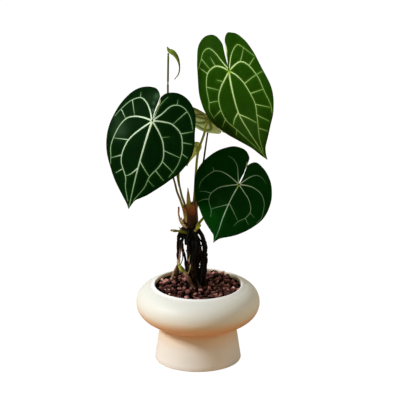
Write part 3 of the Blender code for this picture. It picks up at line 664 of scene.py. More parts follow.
# %% Young roots
# Thinner ones over the first, and thick short ones on the shoulders of the cage.
YOUNG_ROOTS = (
    (((-12.5, -12, 176), (-11.6, -16.5, 165), (-13.0, -17, 156), (-12.5, -15, 148)), 1.0, 0.7,
     (OLIVE, OLIVE, TAN, BROWN)),
    (((-10.5, -15, 151), (-12.0, -17, 143), (-15.5, -17, 135), (-17.5, -16, 126)), 0.9, 0.8,
     (TAN, OLIVE, TAN, TAN)),
    (((-20.0, -8, 190), (-24.0, -13, 178), (-22.0, -13, 160), (-26.0, -12, 148)), 0.9, 0.8,
     (BLACK, BROWN, BROWN, TAN)),
    (((-29.0, -8, 155), (-28.8, -8.5, 150), (-27.5, -9, 144), (-25.5, -11, 139)), 1.3, 1.1,
     (LIME, LIME, OLIVE, OLIVE)),
    (((-29.5, -3, 147), (-31.5, 3, 138), (-35.0, 8, 128), (-38.0, 12, 116)), 1.2, 2.4,
     (BROWN, 0.50, 0.60, 0.64)),
    (((-26.5, -8, 186), (-26.0, -9, 172), (-26.8, -10, 160), (-27.5, -11, 150)), 1.1, 0.9,
     (BLACK, TAN, 0.65, TAN)),
    (((-4.0, -12, 130), (0.0, -15, 122), (3.5, -17, 114), (5.0, -18, 108)), 1.8, 1.6,
     (BLACK, 0.25, 0.36, 0.3)),
    (((-3.0, -8, 184), (2.0, -11, 170), (-1.0, -12, 155), (5.0, -11, 141), (7.0, -10, 128)), 1.0, 0.8,
     (BLACK, BROWN, BLACK, BROWN, BLACK)),
    (((-2.0, -5, 190), (6.0, -8, 181), (3.0, -9, 170), (8.5, -8, 160), (8.0, -6, 150)), 1.1, 0.8,
     (BLACK, BLACK, BROWN, BLACK, BLACK)),
    (((-17.0, -8, 170), (-14.0, -15, 160), (-17.0, -14, 150), (-15.0, -15, 140), (-19.0, -15, 132)),
     0.8, 0.7, (BLACK, BROWN, BLACK, BROWN, BLACK)),
    (((-9.0, -2, 206), (-17.0, -4, 203), (-22.5, -5, 197), (-24.0, -6, 188)), 3.2, 2.0, ALL_BLACK),
    (((-13.0, -6, 203), (-18.0, -8, 197), (-19.0, -8, 190), (-17.5, -8, 178)), 2.8, 1.4, ALL_BLACK),
    (((-8.0, -6, 206), (-1.0, -9, 203), (4.0, -9, 197), (5.5, -8, 188)), 3.2, 2.0, ALL_BLACK),
)
print("young roots", len(YOUNG_ROOTS))

# %% Filler roots
FILLER_SEED = 5
FILLERS = 20
FILLER_HEIGHTS = (178, 162, 146, 130, 114)


def filler_roots():
    """Dark wavering roots that fill the middle of the cage between the placed ones."""
    rng = random.Random(FILLER_SEED)
    made = []
    for i in range(FILLERS):
        bearing = i * GOLDEN_ANGLE
        reach = 4.0 + 7.5 * ((i * 0.37) % 1.0)
        x, y = -7.0 + 0.62 * reach * math.cos(bearing), 1.5 + 1.5 * reach * math.sin(bearing)
        points = [(-9.0 + 0.5 * (x + 9), 0.5 * y, 192)]
        for height in FILLER_HEIGHTS:
            points.append((x + rng.uniform(-2.8, 2.8), y + rng.uniform(-3, 3), height + rng.uniform(-3, 3)))
        points.append((x, y, 100))
        made.append((tuple(points), rng.uniform(1.3, 2.0), rng.uniform(1.3, 1.9),
                     tuple(rng.choice((BLACK, BLACK, 0.15)) for _ in points)))
    return made


print("filler roots", len(filler_roots()))

# %% Grow a root
ROOT_SIDES = 10


def grow_root(work, layer, spec, steps, seed):
    points, first, last, tints = spec
    path = smooth_path([Vector(point) / 1000 for point in points], steps)
    shades = [point.x for point in smooth_path([Vector((tint, 0, 0)) for tint in tints], steps)]
    radii = []
    for i, point in enumerate(path):
        swell = 1 + 0.45 * noise.noise(point * 170 + Vector((seed, 0, 0)))
        radii.append(run_between(first, last, i / steps) / 1000 * swell)
    corners = grow_tube(work, path, radii, ROOT_SIDES, layer, shades)
    knobbly(corners, path, 0.0005, 330, Vector((seed * 3.1, 0, 0)))


# %% Grow the trunk
# The trunk's radius in mm at each share of its height, from the grit to the crown.
TRUNK = ((0.0, 6.0), (0.2, 5.0), (0.45, 4.8), (0.62, 6.0), (0.74, 9.0), (0.81, 11.2), (0.87, 10.4),
         (0.97, 10.4), (1.0, 8.6))
TRUNK_STEPS, TRUNK_SIDES = 60, 28
CROWN_STARTS = 0.90


def grow_stem(work, layer):
    """A stubby trunk with leaf scars; the crown on top is wider and carries the petioles."""
    height = CROWN.z - STEM_FOOT.z
    path, radii = [], []
    for i in range(TRUNK_STEPS + 1):
        share = i / TRUNK_STEPS
        k = max(j for j in range(len(TRUNK) - 1) if TRUNK[j][0] <= share)
        (s0, r0), (s1, r1) = TRUNK[k:k + 2]
        scar = 0.35 * max(0.0, math.sin(share * height * 1000 * 0.9)) ** 3
        radii.append((run_between(r0, r1, (share - s0) / (s1 - s0)) + scar) / 1000)
        path.append(STEM_FOOT.lerp(CROWN, share))
    tints = [BLACK if i / TRUNK_STEPS < CROWN_STARTS else BROWN for i in range(TRUNK_STEPS + 1)]
    corners = grow_tube(work, path, radii, TRUNK_SIDES, layer, tints)
    knobbly(corners, path, 0.0011, 210, Vector((9, 0, 0)))


# %% [markdown]
# Beside the roots, the crown has a young root that points left with a brown tip, and the dry end
# of an old sheath that curls up. Both are part of the same growth and round, so they are short
# tubes from the same helper, in the same mesh, with a few stubs and a green bud.

# %% Root tip and dry sheath end
SPURS = (
    (((-12.0, -6, 195.5), (-21.0, -11, 199.0), (-30.0, -13.5, 201.5), (-37.0, -14.6, 202.6),
      (-39.8, -15, 202.8)), 2.5, 1.4, (0.84, OLIVE, OLIVE, 0.72, BROWN)),
    (((-16.0, -5, 204), (-22.5, -8, 209), (-26.5, -8.5, 217), (-28.0, -8.5, 226), (-28.0, -8.5, 237)),
     2.1, 1.0, (BLACK, 0.66, 0.66, 0.66, 0.45)),
    (((-19.5, -9, 207), (-21.5, -10, 213), (-24.6, -10.5, 221)), 1.8, 0.9, (0.66, 0.66, TAN)),
    (((-17.0, -12, 206), (-19.0, -13, 209.5), (-22.0, -13, 212.0)), 1.5, 0.8, (0.66, 0.68, 0.68)),
    (((-24.0, -12, 202.2), (-26.5, -13.5, 206.0), (-27.4, -14, 208.0)), 1.0, 0.6, (OLIVE, 0.68, 0.66)),
    (((-4.0, -12, 201), (-1.0, -14, 206), (2.5, -15, 212)), 2.2, 2.6, (0.7, 0.9, 0.9)),
)


def make_growth():
    work = bmesh.new()
    layer = work.verts.layers.float.new("tint")
    grow_stem(work, layer)
    kinds = ((ROOTS + tuple(filler_roots()), 34, 1), (YOUNG_ROOTS, 18, 31), (SPURS, 16, 61))
    for specs, steps, first_seed in kinds:
        for i, spec in enumerate(specs):
            grow_root(work, layer, spec, steps, first_seed + i)
    return work


growth = make_growth()
print("stem and roots", len(growth.faces), "faces")

# %% [markdown]
# Old root bark is almost black and hardly shines, young bark is tan, olive or lime. The tint that
# each corner carries is one number, so a single ramp holds all these colours and a root changes
# from one to the next along its length. A little mottle blurs the change.

# %% Bark finish
BARK = (
    (0.0, (0.0035, 0.0028, 0.0020)), (0.20, (0.008, 0.0055, 0.0035)), (0.36, (0.055, 0.024, 0.009)),
    (0.48, (0.24, 0.110, 0.070)), (0.58, (0.34, 0.19, 0.12)), (0.68, (0.50, 0.38, 0.19)),
    (0.80, (0.105, 0.125, 0.012)), (1.0, (0.56, 0.60, 0.09)))
BLUR = 0.16


def bark_finish():
    finish, tree, shader = start_finish("dark_root_bark", 0.7, 0.10)
    spots, grain = mottle(tree, 160.0)
    uneven = calculate(tree, "MULTIPLY", calculate(tree, "SUBTRACT", spots, 0.5), BLUR)
    give_colour(tree, shader, ramp(tree, calculate(tree, "ADD", attribute(tree, "tint"), uneven), BARK))
    bump(tree, shader, blend_colours(tree, 0.5, spots, grain), 0.0006, 0.8)
    return finish


make_piece("stem_and_root_cage", growth, [bark_finish()], ["stem_and_roots"])

# %% [markdown]
# ## Sheaths
# Each new leaf leaves a pointed sheath behind. It could be cut from a cone, but a flat grid
# rolled round the crown and drawn in to a point keeps its rows as the sheath's fibres. It is then
# given a thin body. Five of them stand round the crown, of different ages.

# %% Sheaths round the crown
# Each sheath: bearing and half spread in degrees, the heights of its foot and tip, how far the
# tip leans outwards, and how green, cream and old it is. The cream is partly its own colour and
# partly a painted highlight.
SHEATHS = {
    "sheath_spike": (264, 17, 0.2090, 0.2665, -0.0030, (1.0, 0.0, 0.0)),
    "sheath_right": (338, 28, 0.2110, 0.2500, -0.0008, (0.15, 0.0, 0.75)),
    "sheath_front": (296, 16, 0.2110, 0.2460, -0.0005, (0.1, 0.0, 0.10)),
    "sheath_front_left": (234, 15, 0.2130, 0.2390, 0.0008, (0.0, 1.0, 0.0)),
    "sheath_back": (92, 26, 0.2090, 0.2400, 0.0020, (0.3, 0.0, 0.4)),
}
AGES = ("green", "cream", "old")
SHEATH_ROOM, SHEATH_THICKNESS = 0.0011, 0.0007
FIBRE_DEPTH, FIBRES = 0.00012, 22


def make_sheath(name):
    bearing, spread, foot, tip, lean, age = SHEATHS[name]
    work = bmesh.new()
    bmesh.ops.create_grid(work, x_segments=16, y_segments=40, size=1.0)
    along = work.verts.layers.float.new("along")
    ages = [work.verts.layers.float.new(stage) for stage in AGES]
    for corner in work.verts:
        across, up = corner.co.x, (corner.co.y + 1) / 2
        height = foot + (tip - foot) * up
        free = max(0.0, (height - CROWN.z) / (tip - CROWN.z))
        radius = CROWN_RADIUS + SHEATH_ROOM + lean * free + FIBRE_DEPTH * math.sin(across * FIBRES)
        half = math.radians(spread) * (0.75 + 0.9 * up) * (1 - 0.98 * up ** 3.5)
        angle = math.radians(bearing) + across * half
        axis = STEM_FOOT.lerp(CROWN, (height - STEM_FOOT.z) / (CROWN.z - STEM_FOOT.z))
        corner.co = Vector((axis.x + radius * math.cos(angle), axis.y + radius * math.sin(angle), height))
        corner[along] = up
        for stage, much in zip(ages, age):
            corner[stage] = much
    return work


# %% [markdown]
# A sheath turns from green to papery brown as it ages, darkest where it grips the crown and at
# its dried tip. Five materials would do, but here one holds a colour run for a dry, a fresh and
# a cream sheath and mixes them by the three ages that the mesh carries. The cream is partly the
# sheath's own colour and partly a painted highlight.

# %% Sheath finish
DRY_SHEATH = (
    (0.0, (0.012, 0.006, 0.003)), (0.35, (0.06, 0.018, 0.006)), (0.55, (0.42, 0.085, 0.025)),
    (0.8, (0.50, 0.17, 0.06)), (1.0, (0.05, 0.02, 0.01)))
FRESH_SHEATH = (
    (0.0, (0.012, 0.006, 0.003)), (0.28, (0.07, 0.020, 0.006)), (0.45, (0.36, 0.11, 0.025)),
    (0.58, (0.38, 0.30, 0.05)), (0.68, (0.52, 0.50, 0.10)), (1.0, (0.32, 0.24, 0.07)))
# The cream sheath: its own pale colour with a painted highlight on it.
CREAM_AND_HIGHLIGHT_SHEATH = (
    (0.0, (0.40, 0.33, 0.11)), (0.3, (0.42, 0.34, 0.10)), (0.6, (0.22, 0.13, 0.03)),
    (0.8, (0.40, 0.13, 0.035)), (1.0, (0.06, 0.02, 0.01)))
OLD_SHEATH, SHEATH_SPOTS = (0.022, 0.010, 0.004), (0.03, 0.012, 0.004)


def sheath_finish():
    finish, tree, shader = start_finish("papery_sheath", 0.5, 0.25)
    spots, grain = mottle(tree, 300.0)
    dry, fresh, cream = (ramp(tree, attribute(tree, "along"), stops)
                         for stops in (DRY_SHEATH, FRESH_SHEATH, CREAM_AND_HIGHLIGHT_SHEATH))
    body = blend_colours(tree, attribute(tree, "green"), dry, fresh)
    body = blend_colours(tree, attribute(tree, "cream"), body, cream)
    body = blend_colours(tree, attribute(tree, "old"), body, OLD_SHEATH)
    give_colour(tree, shader, blend_colours(tree, 0.55, body, blend_colours(tree, spots, body, SHEATH_SPOTS)))
    bump(tree, shader, grain, 0.0002, 0.6)
    return finish


def give_body(piece, thickness):
    """A thin body behind the piece's outer face."""
    body = piece.modifiers.new("body", "SOLIDIFY")
    body.thickness = thickness
    body.offset = -1.0
    return body


PAPER = sheath_finish()
for sheath_name in SHEATHS:
    sheath = make_piece(sheath_name + "_papery", make_sheath(sheath_name), [PAPER], [sheath_name])
    give_body(sheath, SHEATH_THICKNESS)

# %% [markdown]
# ## Blades, flat and bent
# The open blades are heart-shaped, deeply notched and under a millimetre thick. They could be
# sculpted, but a blade that is worked out flat first stays true to its kind. Its outline is the
# reach from the petiole, stated round the sweep from the tip to the notch. The flat blade is then
# bent: its midrib arches, its halves fold, and it is twisted and turned to where it hangs.
# Everything that lies on a blade, such as a vein, is placed by the same two steps, so it always
# fits.

# %% Blade shapes
SWEEP = (0.0, 0.012, 0.035, 0.06, 0.095, 0.16, 0.25, 0.36, 0.48, 0.61, 0.74, 0.86, 0.94, 1.0)
CLOSER_AT_TIP = 1.35
# The reach of a small blade's half near its tip. Each blade states the rest of both halves.
SMALL_TIP = (1, 0.940, 0.865, 0.822, 0.770, 0.705)
BLADES = {
    "blade_left": {
        "attach": (-0.0659, -0.0400, 0.3814), "yaw": -24, "pitch": 32, "roll": -6.3, "twist": -4,
        "length": 0.1325, "arch": 17.5, "lobe_arch": 12, "fold": (-12, -9), "curl": (5, 7),
        "sweep": (180, 188), "notch": (16, 16), "lift": (0.0018, -0.0018),
        "left": (1, 0.954, 0.898, 0.849, 0.796, 0.713, 0.641, 0.571, 0.509, 0.477,
                 0.455, 0.401, 0.354, 0.276),
        "right": (1, 0.916, 0.863, 0.826, 0.774, 0.705, 0.654, 0.592, 0.503, 0.483,
                  0.451, 0.385, 0.308, 0.185),
    },
    "blade_upper_right": {
        "attach": (0.0444, -0.0300, 0.4543), "yaw": -42.6, "pitch": 7.3, "roll": 17.9, "twist": 0,
        "length": 0.1505, "arch": 42.5, "lobe_arch": 0, "fold": (-7, 3), "curl": (8, 7),
        "sweep": (171.5, 187), "notch": (3, 4), "lift": (0, 0),
        "left": (1, 0.945, 0.852, 0.806, 0.765, 0.720, 0.665, 0.556, 0.464, 0.450,
                 0.467, 0.424, 0.357, 0.257),
        "right": (1, 0.929, 0.843, 0.792, 0.738, 0.672, 0.632, 0.583, 0.450, 0.398,
                  0.384, 0.376, 0.340, 0.190),
    },
    "blade_lower_right": {
        "attach": (0.0594, -0.0250, 0.2782), "yaw": 24.8, "pitch": 43.9, "roll": -38.9, "twist": 10,
        "length": 0.1056, "arch": 4, "lobe_arch": 2, "fold": (-7, -18), "curl": (5, 2),
        "sweep": (183.5, 179), "notch": (16, 14), "lift": (0.0018, -0.0018),
        "left": (1, 0.905, 0.848, 0.810, 0.767, 0.700, 0.657, 0.625, 0.600, 0.569,
                 0.568, 0.572, 0.513, 0.367),
        "right": (1, 0.928, 0.862, 0.822, 0.773, 0.697, 0.626, 0.583, 0.558, 0.560,
                  0.565, 0.529, 0.475, 0.340),
    },
    "blade_back_upper": {
        "attach": (0.0163, 0.0420, 0.3539), "yaw": 147, "pitch": 31, "roll": 148, "twist": 0,
        "length": 0.0707, "arch": 39, "lobe_arch": 8, "fold": (-5, -23), "curl": (-8, -8),
        "sweep": (178, 170), "notch": (8, 8), "lift": (0, 0),
        "left": (*SMALL_TIP, 0.645, 0.575, 0.515, 0.470, 0.425, 0.405, 0.412, 0.385),
        "right": (*SMALL_TIP, 0.610, 0.525, 0.458, 0.436, 0.448, 0.442, 0.395, 0.310),
    },
    "blade_back_lower": {
        "attach": (-0.0264, 0.0350, 0.3096), "yaw": 216, "pitch": 46.6, "roll": -34.7, "twist": 0,
        "length": 0.0621, "arch": 18, "lobe_arch": 8, "fold": (-4, -4), "curl": (-10, -10),
        "sweep": (170, 170), "notch": (8, 8), "lift": (0, 0),
        "left": (*SMALL_TIP, 0.645, 0.575, 0.510, 0.480, 0.458, 0.412, 0.350, 0.260),
        "right": (*SMALL_TIP, 0.645, 0.575, 0.510, 0.480, 0.458, 0.412, 0.350, 0.260),
    },
}

# %% Flat outline and bending
def blade_axes(spec):
    """Tip direction, upper face's normal and sideways direction at the petiole."""
    yaw, pitch, roll = (math.radians(spec[k]) for k in ("yaw", "pitch", "roll"))
    normal = Vector((math.sin(yaw) * math.cos(pitch), -math.cos(yaw) * math.cos(pitch), math.sin(pitch)))
    level = Vector((math.cos(yaw), math.sin(yaw), 0.0))
    down = normal.cross(level)
    if down.z > 0:
        down.negate()
    tip = math.cos(roll) * down + math.sin(roll) * level
    side = math.cos(roll) * level - math.sin(roll) * down
    return tip, normal, side


def margin_slopes(shares):
    """The slope of a half blade's margin at each stated share of the sweep."""
    widths = [q - p for p, q in zip(SWEEP, SWEEP[1:])]
    slopes = [(b - a) / w for a, b, w in zip(shares, shares[1:], widths)]
    inner = [(slopes[i - 1] * widths[i] + slopes[i] * widths[i - 1]) / (widths[i - 1] + widths[i])
             for i in range(1, len(slopes))]
    return [1.5 * slopes[0] - 0.5 * inner[0], *inner, 1.5 * slopes[-1] - 0.5 * inner[-1]]


MARGIN_SLOPES = {spec[half]: margin_slopes(spec[half])
                 for spec in BLADES.values() for half in ("left", "right")}


def reach_at(shares, share):
    """Smooth interpolation of a half blade's reach over its sweep."""
    share = min(1.0, share)
    k = min(bisect.bisect_right(SWEEP, share), len(SWEEP) - 1) - 1
    width = SWEEP[k + 1] - SWEEP[k]
    t = (share - SWEEP[k]) / width
    slopes = MARGIN_SLOPES[shares]
    return ((2 * t**3 - 3 * t**2 + 1) * shares[k] + (t**3 - 2 * t**2 + t) * width * slopes[k]
            + (3 * t**2 - 2 * t**3) * shares[k + 1] + (t**3 - t**2) * width * slopes[k + 1])


def flat_point(spec, across, out):
    """Place on the flat blade: across runs from -1 to 1 round the sweep, out from 0 to 1."""
    half = 0 if across < 0 else 1
    share = abs(across) ** CLOSER_AT_TIP
    reach = spec["length"] * reach_at(spec["left"] if half == 0 else spec["right"], share) * out
    angle = math.radians(share * (spec["sweep"][half] - spec["notch"][half] * (1 - out) ** 2))
    return math.copysign(reach * math.sin(angle), across), reach * math.cos(angle)


def lobe_lift(spec, u, v):
    """Where the two lobes would meet above the notch, one is lifted and the other lowered."""
    half = 0 if u < 0 else 1
    share = math.degrees(math.atan2(abs(u), v)) / spec["sweep"][half]
    reach = spec["length"] * reach_at(spec["left"] if half == 0 else spec["right"], share)
    out = min(1.0, math.hypot(u, v) / reach)
    ease = max(0.0, (min(1.0, share) - 0.7) / 0.3)
    return spec["lift"][half] * out * out * ease * ease * (3 - 2 * ease)


def bent_point(spec, axes, u, v, height):
    """Place in space of a point of the flat blade that lies this high above it."""
    tip, normal, side = axes
    length = spec["length"]
    bend = math.radians(spec["arch"] if v >= 0 else spec["lobe_arch"]) / length or 1e-6
    turn = bend * v
    along, back = math.sin(turn) / bend, (1 - math.cos(turn)) / bend
    half = 0 if u < 0 else 1
    fold = math.radians(spec["fold"][half])
    curl = math.radians(spec["curl"][half]) / length or 1e-6
    width = abs(u)
    out = math.copysign((math.sin(fold + curl * width) - math.sin(fold)) / curl, u)
    rise = (math.cos(fold) - math.cos(fold + curl * width)) / curl + height
    up = math.cos(turn) * normal + math.sin(turn) * tip
    wring = math.radians(spec["twist"]) * v / length
    wrung_side = math.cos(wring) * side + math.sin(wring) * up
    wrung_up = math.cos(wring) * up - math.sin(wring) * side
    return Vector(spec["attach"]) + along * tip - back * normal + out * wrung_side + rise * wrung_up


print("blades", list(BLADES))

# %% [markdown]
# ## Veins
# The pale veins are what this plant is grown for. From the petiole run a midrib and three curved
# veins into each half, which meet near the margin in loops, with short bars across. A drawn
# image could show them, but real strips keep them crisp from close by, so they are stated as paths.
# Each vein is its width at the start in millimetres, and a few places on the flat blade in
# shares of its length: x to the right and y to the tip.

# %% Vein maps
VEINS = {
    "blade_left": (
        (3.4, ((0, 0.02), (0, 0.25), (0, 0.5), (0, 0.75), (0, 0.98))),
        (2.6, ((0, 0.01), (-0.11, 0.12), (-0.21, 0.25), (-0.25, 0.40), (-0.23, 0.53), (-0.13, 0.67),
               (-0.10, 0.78), (-0.03, 0.92))),
        (2.6, ((-0.01, 0), (-0.12, -0.01), (-0.24, 0), (-0.34, 0.05), (-0.40, 0.18), (-0.42, 0.37),
               (-0.38, 0.50), (-0.36, 0.58))),
        (2.4, ((-0.01, -0.01), (-0.07, -0.10), (-0.15, -0.18), (-0.25, -0.22), (-0.36, -0.16),
               (-0.44, -0.05), (-0.49, 0.05))),
        (2.4, ((0.01, 0.01), (0.11, 0.10), (0.19, 0.20), (0.24, 0.34), (0.23, 0.45), (0.15, 0.60),
               (0.12, 0.73), (0.03, 0.90))),
        (2.4, ((0.01, 0), (0.12, -0.02), (0.23, -0.02), (0.35, 0.05), (0.41, 0.17), (0.43, 0.27),
               (0.42, 0.40), (0.36, 0.55))),
        (2.2, ((0.01, -0.01), (0.08, -0.10), (0.14, -0.20), (0.21, -0.24), (0.30, -0.23), (0.40, -0.15),
               (0.47, -0.03))),
        (1.2, ((0.01, -0.03), (0.02, -0.13), (0.04, -0.22), (0.08, -0.30))),
        (1.7, ((0, 0.54), (-0.07, 0.62), (-0.13, 0.66))), (1.6, ((0, 0.46), (0.08, 0.54), (0.15, 0.60))),
        (1.3, ((-0.34, -0.17), (-0.24, 0))), (1.4, ((-0.435, -0.04), (-0.33, 0.06))),
        (1.4, ((-0.23, 0.27), (-0.41, 0.29))), (1.4, ((-0.25, 0.45), (-0.37, 0.51))),
        (1.3, ((-0.20, 0.60), (-0.27, 0.66))), (1.3, ((0.34, -0.20), (0.23, -0.02))),
        (1.3, ((0.36, 0.05), (0.48, -0.01))), (1.2, ((0.41, 0.14), (0.51, 0.13))),
        (1.2, ((0.43, 0.26), (0.51, 0.29))), (1.3, ((0.22, 0.28), (0.43, 0.31))),
        (1.3, ((0.24, 0.40), (0.40, 0.49))), (1.3, ((0.20, 0.52), (0.31, 0.60))),
        (0.8, ((0.14, 0.64), (0.22, 0.69))), (0.7, ((0.16, 0.15), (0.24, 0.12))),
        (1.0, ((-0.25, -0.22), (-0.27, -0.28))), (1.0, ((0.21, -0.24), (0.20, -0.30))),
    ),
    "blade_upper_right": (
        (3.6, ((0, 0.02), (-0.01, 0.24), (-0.02, 0.43), (0.01, 0.62), (0.02, 0.80), (0, 0.98))),
        (2.4, ((0, 0.01), (-0.09, 0.09), (-0.17, 0.17), (-0.24, 0.29), (-0.24, 0.48), (-0.15, 0.60),
               (-0.07, 0.73), (0, 0.90))),
        (2.4, ((-0.01, 0), (-0.10, -0.04), (-0.20, -0.05), (-0.31, 0.01), (-0.36, 0.14), (-0.38, 0.29),
               (-0.41, 0.38), (-0.39, 0.47))),
        (1.9, ((-0.01, -0.02), (-0.09, -0.10), (-0.15, -0.17), (-0.24, -0.23), (-0.33, -0.20), (-0.38, -0.12),
               (-0.43, -0.05))),
        (2.1, ((0.01, 0.01), (0.10, 0.06), (0.19, 0.16), (0.25, 0.33), (0.21, 0.48), (0.17, 0.58),
               (0.10, 0.72), (0.03, 0.89))),
        (2.4, ((0.01, 0), (0.10, -0.05), (0.19, -0.07), (0.29, -0.02), (0.39, 0.10), (0.43, 0.24),
               (0.46, 0.35), (0.44, 0.45))),
        (1.9, ((0.01, -0.02), (0.05, -0.12), (0.10, -0.19), (0.17, -0.235), (0.26, -0.19), (0.38, -0.11))),
        (1.9, ((-0.02, 0.42), (-0.11, 0.49), (-0.16, 0.55))),
        (1.9, ((-0.02, 0.44), (0.09, 0.49), (0.17, 0.54))),
        (1.2, ((-0.36, 0.14), (-0.20, 0.18))), (1.2, ((-0.38, 0.30), (-0.25, 0.29))),
        (1.2, ((-0.26, 0.39), (-0.39, 0.46))), (1.2, ((-0.23, 0.48), (-0.33, 0.57))),
        (1.2, ((-0.37, -0.14), (-0.27, -0.03))), (1.2, ((-0.18, -0.05), (-0.24, -0.14))),
        (1.2, ((-0.31, 0.01), (-0.42, -0.06))), (1.2, ((0.17, -0.07), (0.21, -0.13), (0.25, -0.21))),
        (1.2, ((0.29, -0.03), (0.38, -0.10))), (1.2, ((0.18, 0.14), (0.33, 0.08), (0.46, 0.04))),
        (1.2, ((0.23, 0.24), (0.42, 0.21))), (1.3, ((0.25, 0.35), (0.44, 0.39))),
        (1.3, ((0.22, 0.46), (0.35, 0.53))), (1.2, ((0.17, 0.60), (0.27, 0.64))),
        (1.0, ((-0.14, 0.60), (-0.20, 0.68))), (1.0, ((-0.12, 0.10), (-0.20, 0.08))),
    ),
    "blade_lower_right": (
        (1.9, ((0, 0.02), (-0.02, 0.26), (-0.02, 0.58), (0, 0.80), (0, 0.98))),
        (1.5, ((-0.01, 0.01), (-0.13, 0.09), (-0.23, 0.17), (-0.30, 0.30), (-0.29, 0.42), (-0.21, 0.54),
               (-0.18, 0.64))),
        (1.5, ((-0.01, 0), (-0.14, -0.05), (-0.26, -0.07), (-0.37, -0.04), (-0.44, 0.06), (-0.49, 0.19),
               (-0.48, 0.30))),
        (1.4, ((-0.01, -0.01), (-0.06, -0.12), (-0.12, -0.25), (-0.20, -0.32), (-0.29, -0.34))),
        (1.5, ((0.01, 0.01), (0.12, 0.06), (0.23, 0.12), (0.31, 0.24), (0.29, 0.38), (0.21, 0.50),
               (0.17, 0.60))),
        (1.5, ((0.01, 0), (0.14, -0.07), (0.26, -0.10), (0.38, -0.08), (0.46, 0.01), (0.49, 0.13),
               (0.50, 0.25), (0.46, 0.36))),
        (1.4, ((0.01, -0.01), (0.07, -0.13), (0.13, -0.23), (0.20, -0.30), (0.29, -0.32), (0.38, -0.29))),
        (1.1, ((-0.02, 0.36), (-0.12, 0.44), (-0.22, 0.53))),
        (1.1, ((-0.01, 0.35), (0.10, 0.43), (0.20, 0.51))),
        (0.9, ((-0.30, 0.30), (-0.38, 0.31), (-0.46, 0.34))),
        (0.9, ((-0.30, 0.40), (-0.36, 0.43), (-0.42, 0.50))),
        (0.8, ((-0.38, -0.03), (-0.43, -0.08))), (0.8, ((0.31, 0.28), (0.40, 0.31))),
        (0.8, ((0.28, 0.40), (0.36, 0.46))),
    ),
}


def plain_veins(width):
    """The common pattern of a small blade, the same in both halves."""
    half = (
        (0.8, ((0.01, 0.01), (0.11, 0.09), (0.20, 0.20), (0.24, 0.34), (0.20, 0.50), (0.12, 0.68),
               (0.04, 0.88))),
        (0.8, ((0.01, 0), (0.12, -0.02), (0.24, 0), (0.35, 0.07), (0.40, 0.22), (0.36, 0.45))),
        (0.75, ((0.01, -0.01), (0.08, -0.11), (0.16, -0.20), (0.26, -0.22), (0.36, -0.14), (0.42, 0.0))),
        (0.5, ((0, 0.34), (0.08, 0.42), (0.18, 0.52))), (0.5, ((0, 0.16), (0.09, 0.22), (0.22, 0.28))),
    )
    made = [(width, ((0, 0.02), (0, 0.3), (0, 0.65), (0, 0.98)))]
    for side in (-1, 1):
        made += [(share * width, tuple((side * x, y) for x, y in path)) for share, path in half]
    return tuple(made)


VEINS["blade_back_upper"] = plain_veins(2.0)
VEINS["blade_back_lower"] = plain_veins(1.8)
print("veins", {name: len(veins) for name, veins in VEINS.items()})

# %% [markdown]
# The blade between the veins is quilted: it swells a little where no vein holds it down. So the
# script measures, for every point, how far the nearest vein is. That one number lifts the
# quilting and also colours a soft pale glow along each vein.

# %% Distance to the nearest vein
MAIN_VEIN_END, BAR_END = 0.32, 0.55


def vein_paths(name):
    """Each vein as a smooth flat path in metres, with its widths."""
    length = BLADES[name]["length"]
    paths = []
    for width, places in VEINS[name]:
        steps = 10 * (len(places) - 1) if len(places) > 2 else 8
        path = smooth_path([Vector((x, y, 0)) * length for x, y in places], steps)
        end = MAIN_VEIN_END if len(places) > 4 else BAR_END
        widths = [width / 1000 * run_between(1.0, end, (i / steps) ** 0.8) for i in range(steps + 1)]
        paths.append((path, widths))
    return paths


def nearest_vein(name, points):
    """For flat points, the distance to the nearest vein's edge."""
    points = np.array(points)
    gap = np.full(len(points), 1.0)
    for path, widths in vein_paths(name):
        for start, end, width in zip(path, path[1:], widths):
            a, b = np.array(start[:2]), np.array(end[:2])
            t = np.clip((points - a) @ (b - a) / max(1e-12, (b - a) @ (b - a)), 0, 1)
            gap = np.minimum(gap, np.hypot(*(points - a - t[:, None] * (b - a)).T) - width / 2)
    return np.maximum(gap, 0.0)


def wander(spec, u, v):
    """Slow unevenness of a grown blade, and a light wave along its margin."""
    length = spec["length"]
    place = Vector((u, v, spec["yaw"])) / length * 3.0
    edge = min(1.0, math.hypot(u, v) / (0.55 * length))
    return length * (0.005 * noise.noise(place) * edge + 0.002 * noise.noise(place * 3.0) * edge)


for place in ((0.0, 0.0), (0.012, 0.012)):
    print("nearest vein from", place, "is", round(1000 * nearest_vein("blade_left", [place])[0], 1), "mm off")

# %% Make the blades
SECTORS, RINGS = 96, 44
# How high the quilting stands, and how far from a vein it and the glow reach.
QUILT, QUILT_REACH, GLOW_REACH = 0.0009, 0.0042, 0.0019
# Each patch of painted sheen, the velvet's shine painted into the colour: its place on the flat
# blade, its spread, all in lengths, and its strength.
PAINTED_SHEEN_PATCHES = {
    "blade_left": ((-0.10, -0.24, 0.09, 0.05), (-0.25, -0.05, 0.20, 0.02), (-0.36, 0.19, 0.09, 0.18),
                   (-0.44, 0.08, 0.06, 0.08), (-0.045, -0.27, 0.035, 0.36), (-0.050, -0.19, 0.022, 0.30),
                   (-0.032, -0.11, 0.022, 0.45), (-0.015, -0.05, 0.020, 0.4)),
    "blade_upper_right": ((-0.20, -0.20, 0.12, 0.03), (0.02, 0.60, 0.20, 0.05)),
    "blade_lower_right": ((-0.05, 0.95, 0.30, 0.04), (-0.15, 0.33, 0.12, 0.12)),
}


def bloom_at(name, u, v):
    """How much painted sheen lies on this place of the flat blade."""
    length = BLADES[name]["length"]
    return sum(much * math.exp(-((u / length - a) ** 2 + (v / length - b) ** 2) / wide ** 2)
               for a, b, wide, much in PAINTED_SHEEN_PATCHES.get(name, ()))


